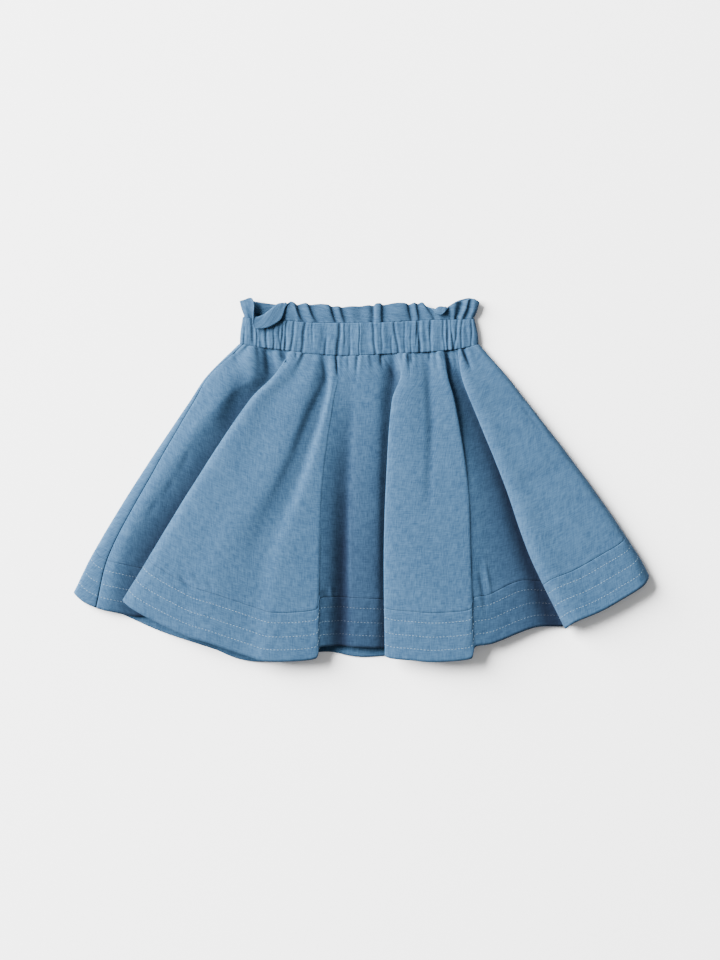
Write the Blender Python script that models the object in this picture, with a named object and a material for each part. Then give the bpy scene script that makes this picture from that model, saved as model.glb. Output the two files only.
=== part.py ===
"""A child's chambray skirt, laid flat on its back with the front up.

The skirt is a tube: a front and a back panel sewn at the sides, each with a deep hem band, gathered
into an elastic casing with a frill above it. The tables below say where each fold line runs over the
laid-out cloth, in millimetres: "across" from the middle of the waist, to the right as seen from
above, "down" from the top of the frill towards the hem, and "height" from the table up to the middle
of the cloth. Smooth curves through the fold lines make one tube of cloth. Its wall is half a
thickness out and in along the tube's own slope, so that pieces parted at a seam keep facing edges.
"""

import math

import bmesh
import bpy
import numpy as np

# Driving dimensions, in metres.
CLOTH = 0.0012              # wall of the skirt panels and hem bands
FRILL_CLOTH = 0.0010        # wall of the frill
SEAM_GAP = 0.0003           # clearance between pieces that are sewn to each other
HEM_BAND = 0.049            # depth of the hem band, along the cloth
CASING_WALL = 0.0024        # casing with its elastic, below the gathers
CASING_MIDDLE = 0.0034      # height at which the front casing meets the back casing
CASING_FRONT_TOP = 0.0064   # height of the front casing's face, before its gathers
CASING_GROOVE = 0.0010      # depth of a full gather of the casing
GROOVE_WIDTH = 0.0024       # half width of a gather of the casing
BACK_HEIGHT = 0.0006        # height of the middle of the back panel's cloth
LAYOUT_CENTRE = (0.0005, 0.1793)  # across and down of the skirt's middle, which lies on the origin

MM = 0.001

# How finely the cloth is divided.
SOFTENING = 0.18            # share of each neighbour that rounds a turn of the cloth
LINE_POINTS = 33            # points worked out on a fold line, before the walls are cut from it
FRONT_STEP = 20.0           # longest step from one fold line of the front to the next, at the hem
BACK_STEP = 40.0            # the same for the back
WRAP_STEPS = 2              # steps between the fold lines where the back wraps round to the front
BAND_STEPS = 3              # steps down a hem band
FRILL_STEPS = 7             # steps from the frill's foot to its tip
FRILL_SAMPLES = (8, 16, 16)  # points worked out on a fold of the frill, from its foot to its tip
FRILL_ROOT = 1.2            # length at its foot over which the frill stands in line with the casing
CASING_SHARES = np.array([0.0, 0.22, 0.5, 0.78, 1.0])   # rows of a casing from its top to its foot

# Rows of the panels between the waist and the band: closer together near the gathers.
PANEL_ROWS = np.array([0.0, 0.03, 0.075, 0.13, 0.2, 0.29, 0.39, 0.5, 0.61, 0.72, 0.82, 0.91, 1.0])

# Levels down the skirt at which the fold tables give a place, between the waist seam and the hem.
LEVELS = (76, 100, 180, 255)

# The waist seam and the foot of the frill: across, then how far down each lies.
WAIST_LINES = [
    # across, waist_seam, frill_foot
    (-120, 44.3, 16.8),
    (-110, 46.0, 18.2),
    (-98, 47.7, 21.6),
    (-86, 49.3, 21.4),
    (-75, 50.6, 20.8),
    (-50, 54.0, 22.7),
    (-20, 56.0, 23.0),
    (0, 55.8, 22.8),
    (25, 54.3, 22.4),
    (50, 53.2, 21.2),
    (75, 51.8, 20.1),
    (100, 48.9, 19.8),
    (119, 45.0, 19.3),
]

# The tube's fold lines over the front, from the left side seam to the right one, which the front's
# cloth meets under the skirt. Each has its place across at the waist, at the levels and at the hem,
# how far down its hem is, and its height at the same six places.
FRONT_FOLDS = [
    # name, across, hem_down, height
    ("left side seam", (-117, -150.4, -165.4, -210.6, -249.6, -262), 308.3, (4.9, 5.1, 5.2, 6, 5.8, 5.2)),
    ("recess 1 rise", (-113, -142, -152, -197, -238, -252), 310.6, (5, 7, 7.4, 6.8, 5.6, 4.6)),
    ("recess 1 swell", (-106.5, -114, -135, -182, -225, -240.5), 312.4, (6.2, 8.2, 8.2, 6, 4.4, 3.5)),
    ("recess 1 floor", (-92, -95.5, -112.5, -157, -202, -222), 316.5, (3.2, 3.4, 3.3, 3, 2.9, 2.9)),
    ("recess 1 turn", (-84.5, -90, -107.5, -151, -195, -214), 314, (5.4, 5.4, 5.2, 5.1, 5.1, 5.1)),
    ("flute 1 under left", (-75.5, -86.5, -110.5, -155, -200, -221), 307, (3.8, 6.6, 7.2, 7.4, 7.4, 7.4)),
    ("flute 1 left edge", (-69, -87.2, -113.6, -161, -209, -236.3), 299.5, (5.4, 8.2, 9.3, 10, 10.2, 10.2)),
    ("flute 1 left brow", (-63.5, -83, -109.5, -155.5, -202.5, -229.5), 306.5, (6, 9.8, 11.6, 13, 13.4, 13.4)),
    ("flute 1 dip", (-54.5, -64, -86, -118, -158, -173), 335.5, (5.2, 8.4, 10.8, 14.8, 16.6, 16)),
    ("flute 1 swell", (-44, -51, -62, -92, -135, -152), 343, (5.9, 8.6, 10.8, 14.4, 16.4, 16.2)),
    ("valley 1", (-33.5, -35, -43.5, -78, -119, -137), 347.6, (4.4, 5.4, 6.6, 9.8, 13.6, 15.4)),
    ("ridge 1", (-26.5, -30, -34.5, -57, -80, -97), 360.3, (5.7, 7.8, 9.6, 13.6, 17.2, 19)),
    ("flute 1 right brow", (-22.5, -26.6, -32.2, -42.5, -46.5, -48), 357.5, (5.2, 7.2, 8.8, 11.8, 12.9, 13.5)),
    ("flute 1 right edge", (-20.3, -24, -29.6, -37.8, -40.7, -42), 354.4, (5, 6.7, 8.1, 9.3, 9.9, 10.1)),
    ("flute 1 under right", (-18.3, -22.2, -27.2, -41.5, -46.5, -48.5), 351.5, (4.9, 6.4, 7.6, 7, 7, 7)),
    ("recess 2 turn", (-16.2, -20.4, -24.6, -44, -51, -54), 349, (4.9, 6.3, 7.3, 5.2, 4.8, 4.8)),
    ("recess 2 left floor", (-13.8, -18, -21, -40, -46, -48.5), 347.5, (5, 6.3, 7.1, 3.6, 2.7, 2.7)),
    ("recess 2 valley", (-7, -7.5, -8.5, -9.8, -15.6, -16.5), 345.5, (5.4, 6.8, 7.4, 4.8, 3.1, 2.9)),
    ("recess 2 ridge", (2, 2, 2, 2, 1.5, 2), 347, (5.6, 7.2, 8.2, 8.4, 7.8, 6.2)),
    ("recess 2 right floor", (14, 14.2, 14.5, 15, 15.5, 16), 348, (5.6, 6.6, 7.2, 5.4, 3.8, 3.2)),
    ("recess 2 foot", (21.5, 24, 28, 34, 38.5, 41.5), 349, (4, 5.4, 5, 3.2, 2.8, 2.8)),
    ("recess 2 right turn", (26.5, 31, 32.6, 38, 43, 46), 350.5, (5.6, 6.4, 6.6, 5.4, 5, 5)),
    ("flute 2 under left", (33, 36.5, 33.4, 35, 38.5, 41), 352, (3.4, 3.8, 8, 7.8, 7.6, 7.6)),
    ("flute 2 left edge", (39, 41, 31.8, 25.8, 24, 25), 355.2, (5.6, 8.6, 10.2, 10.8, 11, 11)),
    ("flute 2 left brow", (44.5, 46, 36, 31, 30, 31), 357.6, (6, 9.8, 12.4, 13.8, 14.4, 14.6)),
    ("flute 2 swell", (53.5, 54, 51, 48, 48, 51), 359.6, (4.8, 9.4, 12.8, 16.8, 18.8, 18.8)),
    ("valley 2", (69.5, 71.5, 74, 73, 72, 72), 361.3, (4.4, 6.6, 8.8, 13.4, 17.6, 18.8)),
    ("flute 2 right brow", (78.5, 84.5, 89, 101, 104, 106.5), 359, (5.8, 8.8, 11.2, 13, 13.6, 13.8)),
    ("flute 2 right edge", (84, 89, 94.5, 106.5, 109.6, 112.3), 356.3, (5.2, 7.4, 9.2, 9.8, 9.8, 9.8)),
    ("flute 2 under right", (86, 89.4, 93, 102.5, 104.5, 106.5), 353, (4.3, 5.7, 6.8, 6.9, 6.7, 6.7)),
    ("recess 3 turn", (87.5, 89.8, 92.5, 99.5, 100, 101.5), 351, (3.6, 4.4, 5, 4.8, 4.7, 4.7)),
    ("recess 3 left floor", (89.2, 91.6, 95.2, 103.5, 105, 106.5), 349.5, (3.3, 3.4, 3.3, 2.9, 2.7, 2.7)),
    ("recess 3 swell", (91.5, 94.4, 101, 119, 128, 133), 342.3, (4, 4.2, 4.8, 5.6, 5.4, 4.8)),
    ("recess 3 floor", (94, 97.4, 106, 137, 161, 176), 325.2, (3.2, 3.2, 3.2, 2.9, 2.9, 2.9)),
    ("flute 3 foot", (96.2, 100.4, 109.3, 142.5, 168.5, 192), 325.2, (3.8, 4.6, 5.4, 5.2, 4.6, 4.2)),
    ("flute 3 left edge", (98.2, 103, 111.9, 144.8, 171.6, 204.5), 328.4, (5.6, 7.8, 9.4, 9.8, 9.8, 9.6)),
    ("flute 3 left brow", (100.5, 107, 117, 152, 181, 218), 322.5, (5.9, 9.2, 11.6, 13.4, 14.2, 14.4)),
    ("flute 3 crest", (103.5, 113, 129, 170, 205, 240), 311, (4.6, 8.8, 12.2, 15.2, 16.4, 16)),
    ("flute 3 dip", (108, 126.5, 153.5, 201, 240, 262), 298.6, (5.4, 7, 8.2, 11.8, 13.4, 13.2)),
    ("right edge brow", (113.8, 140.5, 160, 217.5, 264, 278), 287.8, (5.2, 7.4, 8, 8.6, 9, 9)),
    ("right edge", (118.6, 145.4, 164.5, 225.5, 277, 288), 275, (2.9, 3.9, 4.4, 4.6, 4.6, 4.6)),
    ("right underside", (115.2, 141, 159, 219, 269, 280.5), 277.6, (0.6, 0.6, 0.6, 0.6, 0.6, 0.6)),
    ("right side seam", (111, 135, 152, 209, 257, 267), 285.6, (0.6, 0.6, 0.6, 0.6, 0.6, 0.6)),
]

# The left side of the laid-out tube, where the back panel wraps round to the front.
LEFT_EDGE = (
    "left edge",
    (-120.6, -152.2, -168.8, -222.8, -268.5, -287),
    291.5,
    (2.7, 2.9, 2.9, 3, 3, 3),
)
LEFT_STRIP = (
    "left strip",
    (-119.4, -151.4, -167.4, -217.2, -260, -276.5),
    302,
    (4.3, 4.4, 4.5, 5.5, 5.7, 5.3),
)

# The back panel on the table, from right to left: how far across and down its hem is, and the height
# of its own soft flutes there. Above the hem each line keeps its share of the skirt's width.
BACK_FOLDS = [
    # hem, hem_down, rise
    (254, 294.5, 0.0),
    (240, 303.0, 3.4),
    (222, 311.5, 0.0),
    (186, 319.5, 0.0),
    (155, 326.0, 0.0),
    (112, 344.0, 0.0),
    (92, 348.5, 0.4),
    (72, 351.0, 4.0),
    (48, 353.5, 0.0),
    (24, 355.7, 0.0),
    (0, 357.0, 0.0),
    (-14, 355.0, 0.0),
    (-26, 351.9, 0.0),
    (-44, 352.2, 0.0),
    (-66, 357.0, 0.5),
    (-90, 360.9, 4.6),
    (-110, 361.2, 1.0),
    (-128, 356.8, 0.0),
    (-142, 350.4, 0.0),
    (-173, 340.0, 3.0),
    (-200, 331.0, 0.2),
    (-225, 320.0, 0.0),
    (-250, 308.5, 0.0),
    (-270, 300.5, 0.0),
    (-281, 294.0, 0.0),
]

# The gathers of the casing: across at its top and at its foot, and how deep each is.
FRONT_GATHERS = [
    # top, foot, depth
    (-111.5, -111.5, 0.7),
    (-105.5, -104.0, 1.1),
    (-94.0, -93.5, 1.0),
    (-85.0, -86.0, 0.7),
    (-79.0, -79.5, 0.7),
    (-72.5, -74.5, 1.0),
    (-65.0, -68.5, 0.9),
    (-54.5, -58.0, 0.9),
    (-46.5, -47.0, 0.6),
    (-33.5, -34.0, 0.7),
    (-19.5, -22.0, 1.2),
    (-9.5, -10.0, 0.6),
    (-0.5, -0.5, 0.6),
    (13.0, 15.8, 1.0),
    (21.5, 22.5, 0.5),
    (34.0, 38.5, 0.9),
    (44.5, 45.0, 0.6),
    (51.0, 51.0, 0.6),
    (58.5, 59.5, 1.2),
    (70.5, 70.5, 0.8),
    (83.5, 84.5, 1.0),
    (90.5, 92.0, 1.0),
    (98.0, 96.0, 0.8),
    (102.5, 101.5, 0.6),
    (111.5, 111.5, 0.6),
]

# The back casing is gathered evenly, and lies flat on its puffs.
BACK_GATHERS = [(place, place * 1.01, 0.8) for place in np.linspace(-108.0, 106.0, 17)]

# The two ends of the casing, at shares of the way from its top to its foot.
CASING_ENDS = [
    # share, left, right
    (0.0, -117.2, 114.4),
    (0.6, -119.6, 117.8),
    (1.0, -120.2, 118.4),
]
CASING_SPAN = 236.0         # width of the casing that its gathers are measured against
CASING_CENTRE = -0.9        # middle of the casing, across
CASING_ROUND = 0.02         # share of the width over which each end of the casing is rounded
END_COLUMNS = (0.5, 0.497, 0.488)   # columns at each end of a casing, as shares of its width
GATHER_SIDE = 1.6           # distance of the columns beside a gather
LEAST_STEP = 0.9            # smallest distance between two columns of a casing

# The front frill from its left end to its right end. Each fold has a foot on the casing, a bend and
# a tip: across, down and height. Where the tip lies lower than the bend, the frill flops forward.
FRONT_FRILL = [
    # foot, foot_height, bend, bend_down, bend_height, tip, tip_down, tip_height
    (-116.8, 3.2, -119.2, 9.0, 3.7, -121.2, 1.6, 4.0),
    (-113.2, 5.0, -114.4, 8.0, 6.0, -114.8, -0.4, 6.0),
    (-110.0, 5.2, -109.4, 7.0, 7.2, -108.8, -2.1, 6.6),
    (-107.2, 5.2, -105.8, 9.5, 9.0, -106.2, 2.4, 9.6),
    (-104.4, 4.6, -104.6, 16.5, 8.2, -105.4, 24.5, 10.4),
    (-98.0, 4.4, -98.0, 15.0, 8.2, -98.5, 28.8, 10.2),
    (-91.0, 4.4, -91.0, 9.8, 8.2, -91.5, 28.4, 10.2),
    (-84.0, 4.4, -83.5, 4.0, 8.0, -84.0, 24.6, 10.4),
    (-77.0, 4.4, -76.0, 2.0, 7.0, -78.6, 17.0, 10.6),
    (-72.0, 4.6, -71.0, 2.6, 5.8, -73.0, 6.6, 9.4),
    (-68.5, 5.4, -68.0, 11.0, 6.4, -69.0, 1.8, 7.2),
    (-57.2, 4.0, -60.2, 14.0, 4.2, -63.2, 4.6, 4.4),
    (-51.0, 5.6, -53.0, 13.0, 6.6, -55.0, 3.8, 7.0),
    (-44.2, 4.1, -46.4, 15.0, 4.4, -49.0, 4.4, 5.0),
    (-35.0, 5.6, -37.0, 14.0, 6.6, -38.4, 5.9, 7.2),
    (-24.2, 4.0, -26.2, 15.0, 4.2, -28.6, 6.5, 4.4),
    (-19.4, 5.6, -21.0, 15.0, 6.2, -23.0, 6.8, 6.6),
    (-14.4, 4.2, -16.4, 15.0, 4.3, -18.4, 7.0, 4.4),
    (-7.4, 5.6, -8.0, 15.0, 6.2, -9.2, 6.6, 6.6),
    (-0.8, 4.2, -1.2, 14.0, 4.2, -1.6, 6.1, 4.4),
    (7.0, 5.6, 7.0, 14.0, 6.4, 7.0, 5.7, 6.8),
    (14.6, 4.3, 14.6, 14.0, 4.3, 14.6, 5.2, 4.4),
    (18.6, 6.2, 18.6, 14.0, 7.2, 18.8, 4.7, 7.6),
    (23.4, 4.2, 23.2, 14.0, 4.3, 23.0, 4.5, 4.5),
    (36.0, 5.7, 36.0, 13.0, 6.6, 36.0, 4.1, 7.0),
    (48.0, 4.0, 48.2, 13.0, 4.2, 48.4, 3.8, 4.4),
    (53.0, 5.6, 53.0, 12.0, 6.4, 53.0, 3.5, 6.8),
    (57.6, 4.2, 57.4, 12.0, 4.3, 57.2, 3.3, 4.5),
    (64.0, 5.6, 62.6, 12.0, 6.4, 61.6, 3.2, 6.8),
    (73.6, 4.4, 69.6, 13.0, 4.6, 65.8, 6.4, 4.8),
    (75.6, 4.8, 72.2, 9.0, 6.0, 69.4, 7.4, 7.6),
    (78.6, 5.0, 76.0, 7.8, 7.2, 75.4, 14.4, 10.0),
    (83.0, 5.0, 81.0, 6.8, 7.4, 81.0, 16.4, 10.4),
    (86.6, 4.8, 86.0, 7.2, 7.0, 85.6, 10.6, 9.6),
    (88.6, 4.5, 88.2, 10.5, 6.2, 87.4, 6.8, 7.8),
    (90.2, 4.0, 89.6, 12.6, 4.6, 88.6, 7.4, 5.4),
    (93.4, 5.8, 94.2, 10.0, 6.8, 95.4, 2.3, 7.2),
    (96.4, 4.0, 99.4, 11.0, 4.3, 102.4, 1.2, 4.8),
    (101.2, 5.8, 105.0, 10.0, 7.0, 107.6, 0.2, 7.4),
    (106.4, 4.4, 108.4, 12.0, 5.0, 110.8, -0.6, 6.4),
    (110.4, 5.6, 113.6, 10.0, 6.6, 115.8, 1.2, 6.8),
    (114.2, 3.4, 117.6, 10.5, 4.4, 119.8, 3.6, 4.6),
]

# The back frill, which lies under the front one, from its right end to its left end.
BACK_FRILL_WAVES = 15       # waves of the back frill
BACK_FRILL_RISE = 0.5       # half height of a wave, in millimetres
BACK_FRILL_HEIGHT = 1.6     # height of the back frill's middle, in millimetres
BACK_FRILL_TIPS = [
    # across, tip_down
    (118, 2.0),
    (112, -2.1),
    (97, 1.0),
    (86, 7.9),
    (60, 8.2),
    (20, 8.0),
    (-20, 9.4),
    (-60, 7.4),
    (-76, 5.8),
    (-85, 4.4),
    (-105, 1.6),
    (-112, -0.8),
    (-118, 0.8),
]

COLOURS = {
    # node: base colour of the chambray, linear
    "front_skirt": (0.155, 0.270, 0.400, 1.0),
    "back_skirt": (0.145, 0.255, 0.380, 1.0),
    "front_hem_band": (0.165, 0.285, 0.415, 1.0),
    "back_hem_band": (0.150, 0.262, 0.388, 1.0),
    "front_waistband": (0.160, 0.278, 0.408, 1.0),
    "back_waistband": (0.150, 0.262, 0.388, 1.0),
    "front_frill": (0.170, 0.292, 0.424, 1.0),
    "back_frill": (0.140, 0.248, 0.372, 1.0),
}
CLOTH_ROUGHNESS = 0.9


def smooth_line(knots, values, at):
    """A curve through the values at the knots, with each knot's slope taken from its neighbours."""
    knots = np.asarray(knots, float)
    values = np.asarray(values, float)
    slopes = np.gradient(values, knots)
    at = np.clip(at, knots[0], knots[-1])
    cell = np.clip(np.searchsorted(knots, at) - 1, 0, len(knots) - 2)
    span = knots[cell + 1] - knots[cell]
    t = (at - knots[cell]) / span
    return (
        (1 + 2 * t) * (1 - t) ** 2 * values[cell]
        + t * (1 - t) ** 2 * span * slopes[cell]
        + t * t * (3 - 2 * t) * values[cell + 1]
        + t * t * (t - 1) * span * slopes[cell + 1]
    )


def curve_through(points, samples):
    """Centripetal curve through points (folds, rows, 3), with samples[i] steps after fold i."""
    points = np.asarray(points)
    first = 2 * points[:1] - points[1:2]
    last = 2 * points[-1:] - points[-2:-1]
    line = np.concatenate([first, points, last])
    steps = np.sqrt(np.linalg.norm(np.diff(line, axis=0), axis=2))
    knots = np.concatenate([np.zeros((1,) + steps.shape[1:]), np.cumsum(np.maximum(steps, 1e-6), axis=0)])
    pieces = []
    for fold in range(len(points) - 1):
        p0, p1, p2, p3 = line[fold : fold + 4]
        t0, t1, t2, t3 = (knots[fold + k][:, None] for k in range(4))
        for share in np.arange(samples[fold]) / samples[fold]:
            t = t1 + (t2 - t1) * share
            a1 = ((t1 - t) * p0 + (t - t0) * p1) / (t1 - t0)
            a2 = ((t2 - t) * p1 + (t - t1) * p2) / (t2 - t1)
            a3 = ((t3 - t) * p2 + (t - t2) * p3) / (t3 - t2)
            b1 = ((t2 - t) * a1 + (t - t0) * a2) / (t2 - t0)
            b2 = ((t3 - t) * a2 + (t - t1) * a3) / (t3 - t1)
            pieces.append(((t2 - t) * b1 + (t - t1) * b2) / (t2 - t1))
    pieces.append(points[-1])
    return np.array(pieces)


def placed(across, down, height):
    """Table measures in millimetres to metres about the skirt's middle."""
    return np.stack(
        [
            np.asarray(across) * MM - LAYOUT_CENTRE[0],
            LAYOUT_CENTRE[1] - np.asarray(down) * MM,
            np.asarray(height) * MM,
        ],
        axis=-1,
    )


def waist_seam(across):
    """How far down the waist seam lies."""
    rows = np.array(WAIST_LINES)
    return smooth_line(rows[:, 0], rows[:, 1], across)


def frill_foot(across):
    """How far down the foot of the frill lies."""
    rows = np.array(WAIST_LINES)
    return smooth_line(rows[:, 0], rows[:, 2], across)


def fold_line(row, shares):
    """The points of one fold line, at the given shares of the way from the waist to the hem."""
    name, across, hem_down, height = row
    waist_down = float(waist_seam(across[0]))
    knots = (waist_down,) + LEVELS + (hem_down,)
    down = waist_down + (hem_down - waist_down) * shares
    return placed(smooth_line(knots, across, down), down, smooth_line(knots, height, down))


def back_rows():
    """The back panel's fold lines, worked out from the two edges and each line's share of the width."""
    right = next(row for row in FRONT_FOLDS if row[0] == "right edge")
    rows = []
    left_ends, right_ends = np.array(LEFT_EDGE[1]), np.array(right[1])
    for hem, hem_down, rise in BACK_FOLDS:
        share = (hem - left_ends[-1]) / (right_ends[-1] - left_ends[-1])
        across = left_ends + (right_ends - left_ends) * share
        height = BACK_HEIGHT / MM + rise * np.array((0.0, 0.1, 0.2, 0.55, 0.85, 1.0))
        rows.append(("back", across, hem_down, height))
    return rows


def softened(loop):
    """A closed ring of cloth with each column moved a little towards its neighbours, to round its turns."""
    ring = loop[:-1]
    ring = ring * (1 - 2 * SOFTENING) + SOFTENING * (np.roll(ring, 1, axis=0) + np.roll(ring, -1, axis=0))
    return np.concatenate([ring, ring[:1]])


def slopes_out(loop):
    """Unit normals of a closed ring of cloth (columns, rows, 3) whose last column repeats its first."""
    ring = loop[:-1]
    round_it = np.roll(ring, -1, axis=0) - np.roll(ring, 1, axis=0)
    down_it = np.gradient(ring, axis=1)
    normals = np.cross(down_it, round_it)
    normals[:, 0, 1] = 0.0  # the edge that is sewn to the casing faces it squarely
    normals /= np.linalg.norm(normals, axis=2, keepdims=True)
    return np.concatenate([normals, normals[:1]])


def drawn_in(grid):
    """The sheet with its first and last columns drawn in by half a seam gap."""
    grid = grid.copy()
    for edge, inner in ((0, 1), (-1, -2)):
        step = grid[inner] - grid[edge]
        grid[edge] += step * SEAM_GAP / 2 / np.linalg.norm(step, axis=1, keepdims=True)
    return grid


def two_faces(points, normals, thickness):
    """Outer and inner face of a cloth wall whose middle is at the points."""
    return points + normals * thickness / 2, points - normals * thickness / 2


def cut_lengths(column, along, stops):
    """Points or normals of one column at the given lengths along it."""
    return np.stack([np.interp(stops, along, column[:, k]) for k in range(3)], axis=1)


def panel_and_band(points, normals):
    """One side of the skirt cut across at the band seam: faces of its panel and of its hem band."""
    points = drawn_in(points)
    panel, band = [], []
    for column, slope in zip(points, normals):
        along = np.concatenate([[0.0], np.cumsum(np.linalg.norm(np.diff(column, axis=0), axis=1))])
        seam = along[-1] - HEM_BAND
        panel_stops = SEAM_GAP / 2 + (seam - SEAM_GAP) * PANEL_ROWS
        band_stops = np.linspace(seam + SEAM_GAP / 2, along[-1], BAND_STEPS + 1)
        for piece, stops in ((panel, panel_stops), (band, band_stops)):
            piece.append((cut_lengths(column, along, stops), cut_lengths(slope, along, stops)))
    for piece in (panel, band):
        middle, slope = (np.array([part[k] for part in piece]) for k in (0, 1))
        slope /= np.linalg.norm(slope, axis=2, keepdims=True)
        yield two_faces(middle, slope, CLOTH)


def cloth_material(name):
    """Plain chambray for one piece."""
    material = bpy.data.materials.new(name + "_chambray")
    material.use_nodes = True
    shader = material.node_tree.nodes["Principled BSDF"]
    shader.inputs["Base Color"].default_value = COLOURS[name]
    shader.inputs["Roughness"].default_value = CLOTH_ROUGHNESS
    return material


def add_piece(name, outer, inner):
    """Put a wall between two faces in the skirt's collection, as a named piece of chambray."""
    mesh = wall_mesh(name, outer, inner)
    mesh.materials.append(cloth_material(name))
    bpy.data.collections["chambray_skirt"].objects.link(bpy.data.objects.new(name, mesh))


def steps_between(rows, longest, fewest):
    """How many steps the cloth takes from each fold line to the next, from their distance at the hem."""
    hem = np.array([(across[-1], hem_down, height[-1]) for name, across, hem_down, height in rows])
    return [max(fewest, math.ceil(gap / longest)) for gap in np.linalg.norm(np.diff(hem, axis=0), axis=1)]


def add_skirt():
    """Front and back panels with their hem bands, round one tube, parted at the side seams."""
    front = FRONT_FOLDS
    back = [FRONT_FOLDS[-1]] + back_rows() + [LEFT_EDGE, LEFT_STRIP, FRONT_FOLDS[0]]
    front_steps = steps_between(front, FRONT_STEP, 2)
    back_steps = steps_between(back, BACK_STEP, 1)
    back_steps[-3:] = [WRAP_STEPS] * 3
    rows = front + back[1:]
    folds = np.array([fold_line(row, np.linspace(0.0, 1.0, LINE_POINTS)) for row in rows])
    tube = softened(curve_through(folds, front_steps + back_steps))
    tube[:, :, 2] = np.maximum(tube[:, :, 2], BACK_HEIGHT)
    normals = slopes_out(tube)
    parting = sum(front_steps)
    for side, part in (("front", slice(0, parting + 1)), ("back", slice(parting, None))):
        panel, band = panel_and_band(tube[part], normals[part])
        add_piece(side + "_skirt", *panel)
        add_piece(side + "_hem_band", *band)


def casing_ends(share):
    """Left and right edge of the casing, at a share of the way from its top to its foot."""
    shares, left, right = zip(*CASING_ENDS)
    return smooth_line(shares, left, share), smooth_line(shares, right, share)


def casing_columns(gathers):
    """Places across a casing, as shares of its width: on each gather, beside it and on the puffs."""
    side = GATHER_SIDE / CASING_SPAN
    places = set(END_COLUMNS) | {-place for place in END_COLUMNS}
    centres = [((top + foot) / 2 - CASING_CENTRE) / CASING_SPAN for top, foot, depth in gathers]
    for centre in centres:
        places.update((centre - side, centre, centre + side))
    ends = END_COLUMNS[-1]
    places.update((a + b) / 2 for a, b in zip([-ends] + centres, centres + [ends]))
    ordered = sorted(places)
    kept = ordered[:1]
    for place in ordered[1:]:
        if place - kept[-1] > LEAST_STEP / CASING_SPAN:
            kept.append(place)
    kept[-1] = END_COLUMNS[0]
    return np.array(kept)


def casing_wall(gathers, face, inner):
    """Outer and inner points of one casing: a flattened half tube, its outer side drawn into gathers.

    The half tube's height over its meeting line falls from the middle to the ends as a root of the
    distance, and each gather takes a bell-shaped groove out of the face.
    """
    shares = casing_columns(gathers)
    edge = np.minimum(1.0, (0.5 - np.abs(shares)) / CASING_ROUND)
    rise = np.sqrt(np.clip(1.0 - (1.0 - edge) ** 2, 0.0, 1.0))
    outer = []
    inside = []
    for share in CASING_SHARES:
        left, right = casing_ends(share)
        across = (left + right) / 2 + (right - left) * shares
        top = frill_foot(across) + SEAM_GAP / MM / 2
        foot = waist_seam(across) - SEAM_GAP / MM / 2
        down = top + (foot - top) * share
        groove = np.zeros_like(across)
        for gather_top, gather_foot, depth in gathers:
            centre = gather_top + (gather_foot - gather_top) * share
            groove = np.maximum(groove, depth * np.exp(-(((across - centre) * MM / GROOVE_WIDTH) ** 2) * 3))
        meeting = CASING_MIDDLE + math.copysign(SEAM_GAP / 2, face - CASING_MIDDLE)
        height = meeting + (face - meeting) * rise
        height -= np.copysign(groove * CASING_GROOVE * rise, face - CASING_MIDDLE)
        inset = CASING_WALL / MM * (1.0 - rise) * np.sign(-shares)
        inner_height = meeting + (inner - meeting) * rise
        outer.append(placed(across, down, height / MM))
        inside.append(placed(across + inset, down, inner_height / MM))
    return np.transpose(outer, (1, 0, 2)), np.transpose(inside, (1, 0, 2))


def parted_cells(points, a, b, c, d):
    """Two triangles for each four-cornered cell, parted along the cell's shorter diagonal."""
    across_ac = np.linalg.norm(points[a] - points[c], axis=1)
    across_bd = np.linalg.norm(points[b] - points[d], axis=1)
    swapped = (across_ac > across_bd)[:, None]
    first = np.where(swapped, np.stack([a, b, d], axis=1), np.stack([a, b, c], axis=1))
    second = np.where(swapped, np.stack([d, b, c], axis=1), np.stack([a, c, d], axis=1))
    return np.concatenate([first, second])


def wall_mesh(name, outer, inner):
    """A closed wall between two grids of points, with a rim round its four edges.

    The cells are parted the same way on both faces.
    """
    columns, rows = outer.shape[:2]
    points = np.concatenate([outer.reshape(-1, 3), inner.reshape(-1, 3)])
    middle = (outer + inner).reshape(-1, 3) / 2
    index = np.arange(columns * rows).reshape(columns, rows)
    cells = (index[:-1, :-1], index[:-1, 1:], index[1:, 1:], index[1:, :-1])
    top = parted_cells(middle, *(corner.ravel() for corner in cells))
    ring = np.concatenate([index[0, :], index[1:, -1], index[-1, -2::-1], index[-2:0:-1, 0]])
    ahead = np.roll(ring, -1)
    below = columns * rows
    rim = parted_cells(points, ring, ring + below, ahead + below, ahead)
    faces = np.concatenate([top, top[:, ::-1] + below, rim])
    mesh = bpy.data.meshes.new(name)
    mesh.from_pydata(points.tolist(), [], faces.tolist())
    tidy = bmesh.new()
    tidy.from_mesh(mesh)
    bmesh.ops.recalc_face_normals(tidy, faces=tidy.faces)
    tidy.to_mesh(mesh)
    tidy.free()
    return mesh


def add_casings():
    """Front and back of the elastic casing, gathered on the outside and plain within."""
    front = casing_wall(FRONT_GATHERS, CASING_FRONT_TOP, CASING_FRONT_TOP - CASING_WALL)
    add_piece("front_waistband", *front)
    back = casing_wall(BACK_GATHERS, 0.0, CASING_WALL)
    add_piece("back_waistband", *back)


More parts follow.
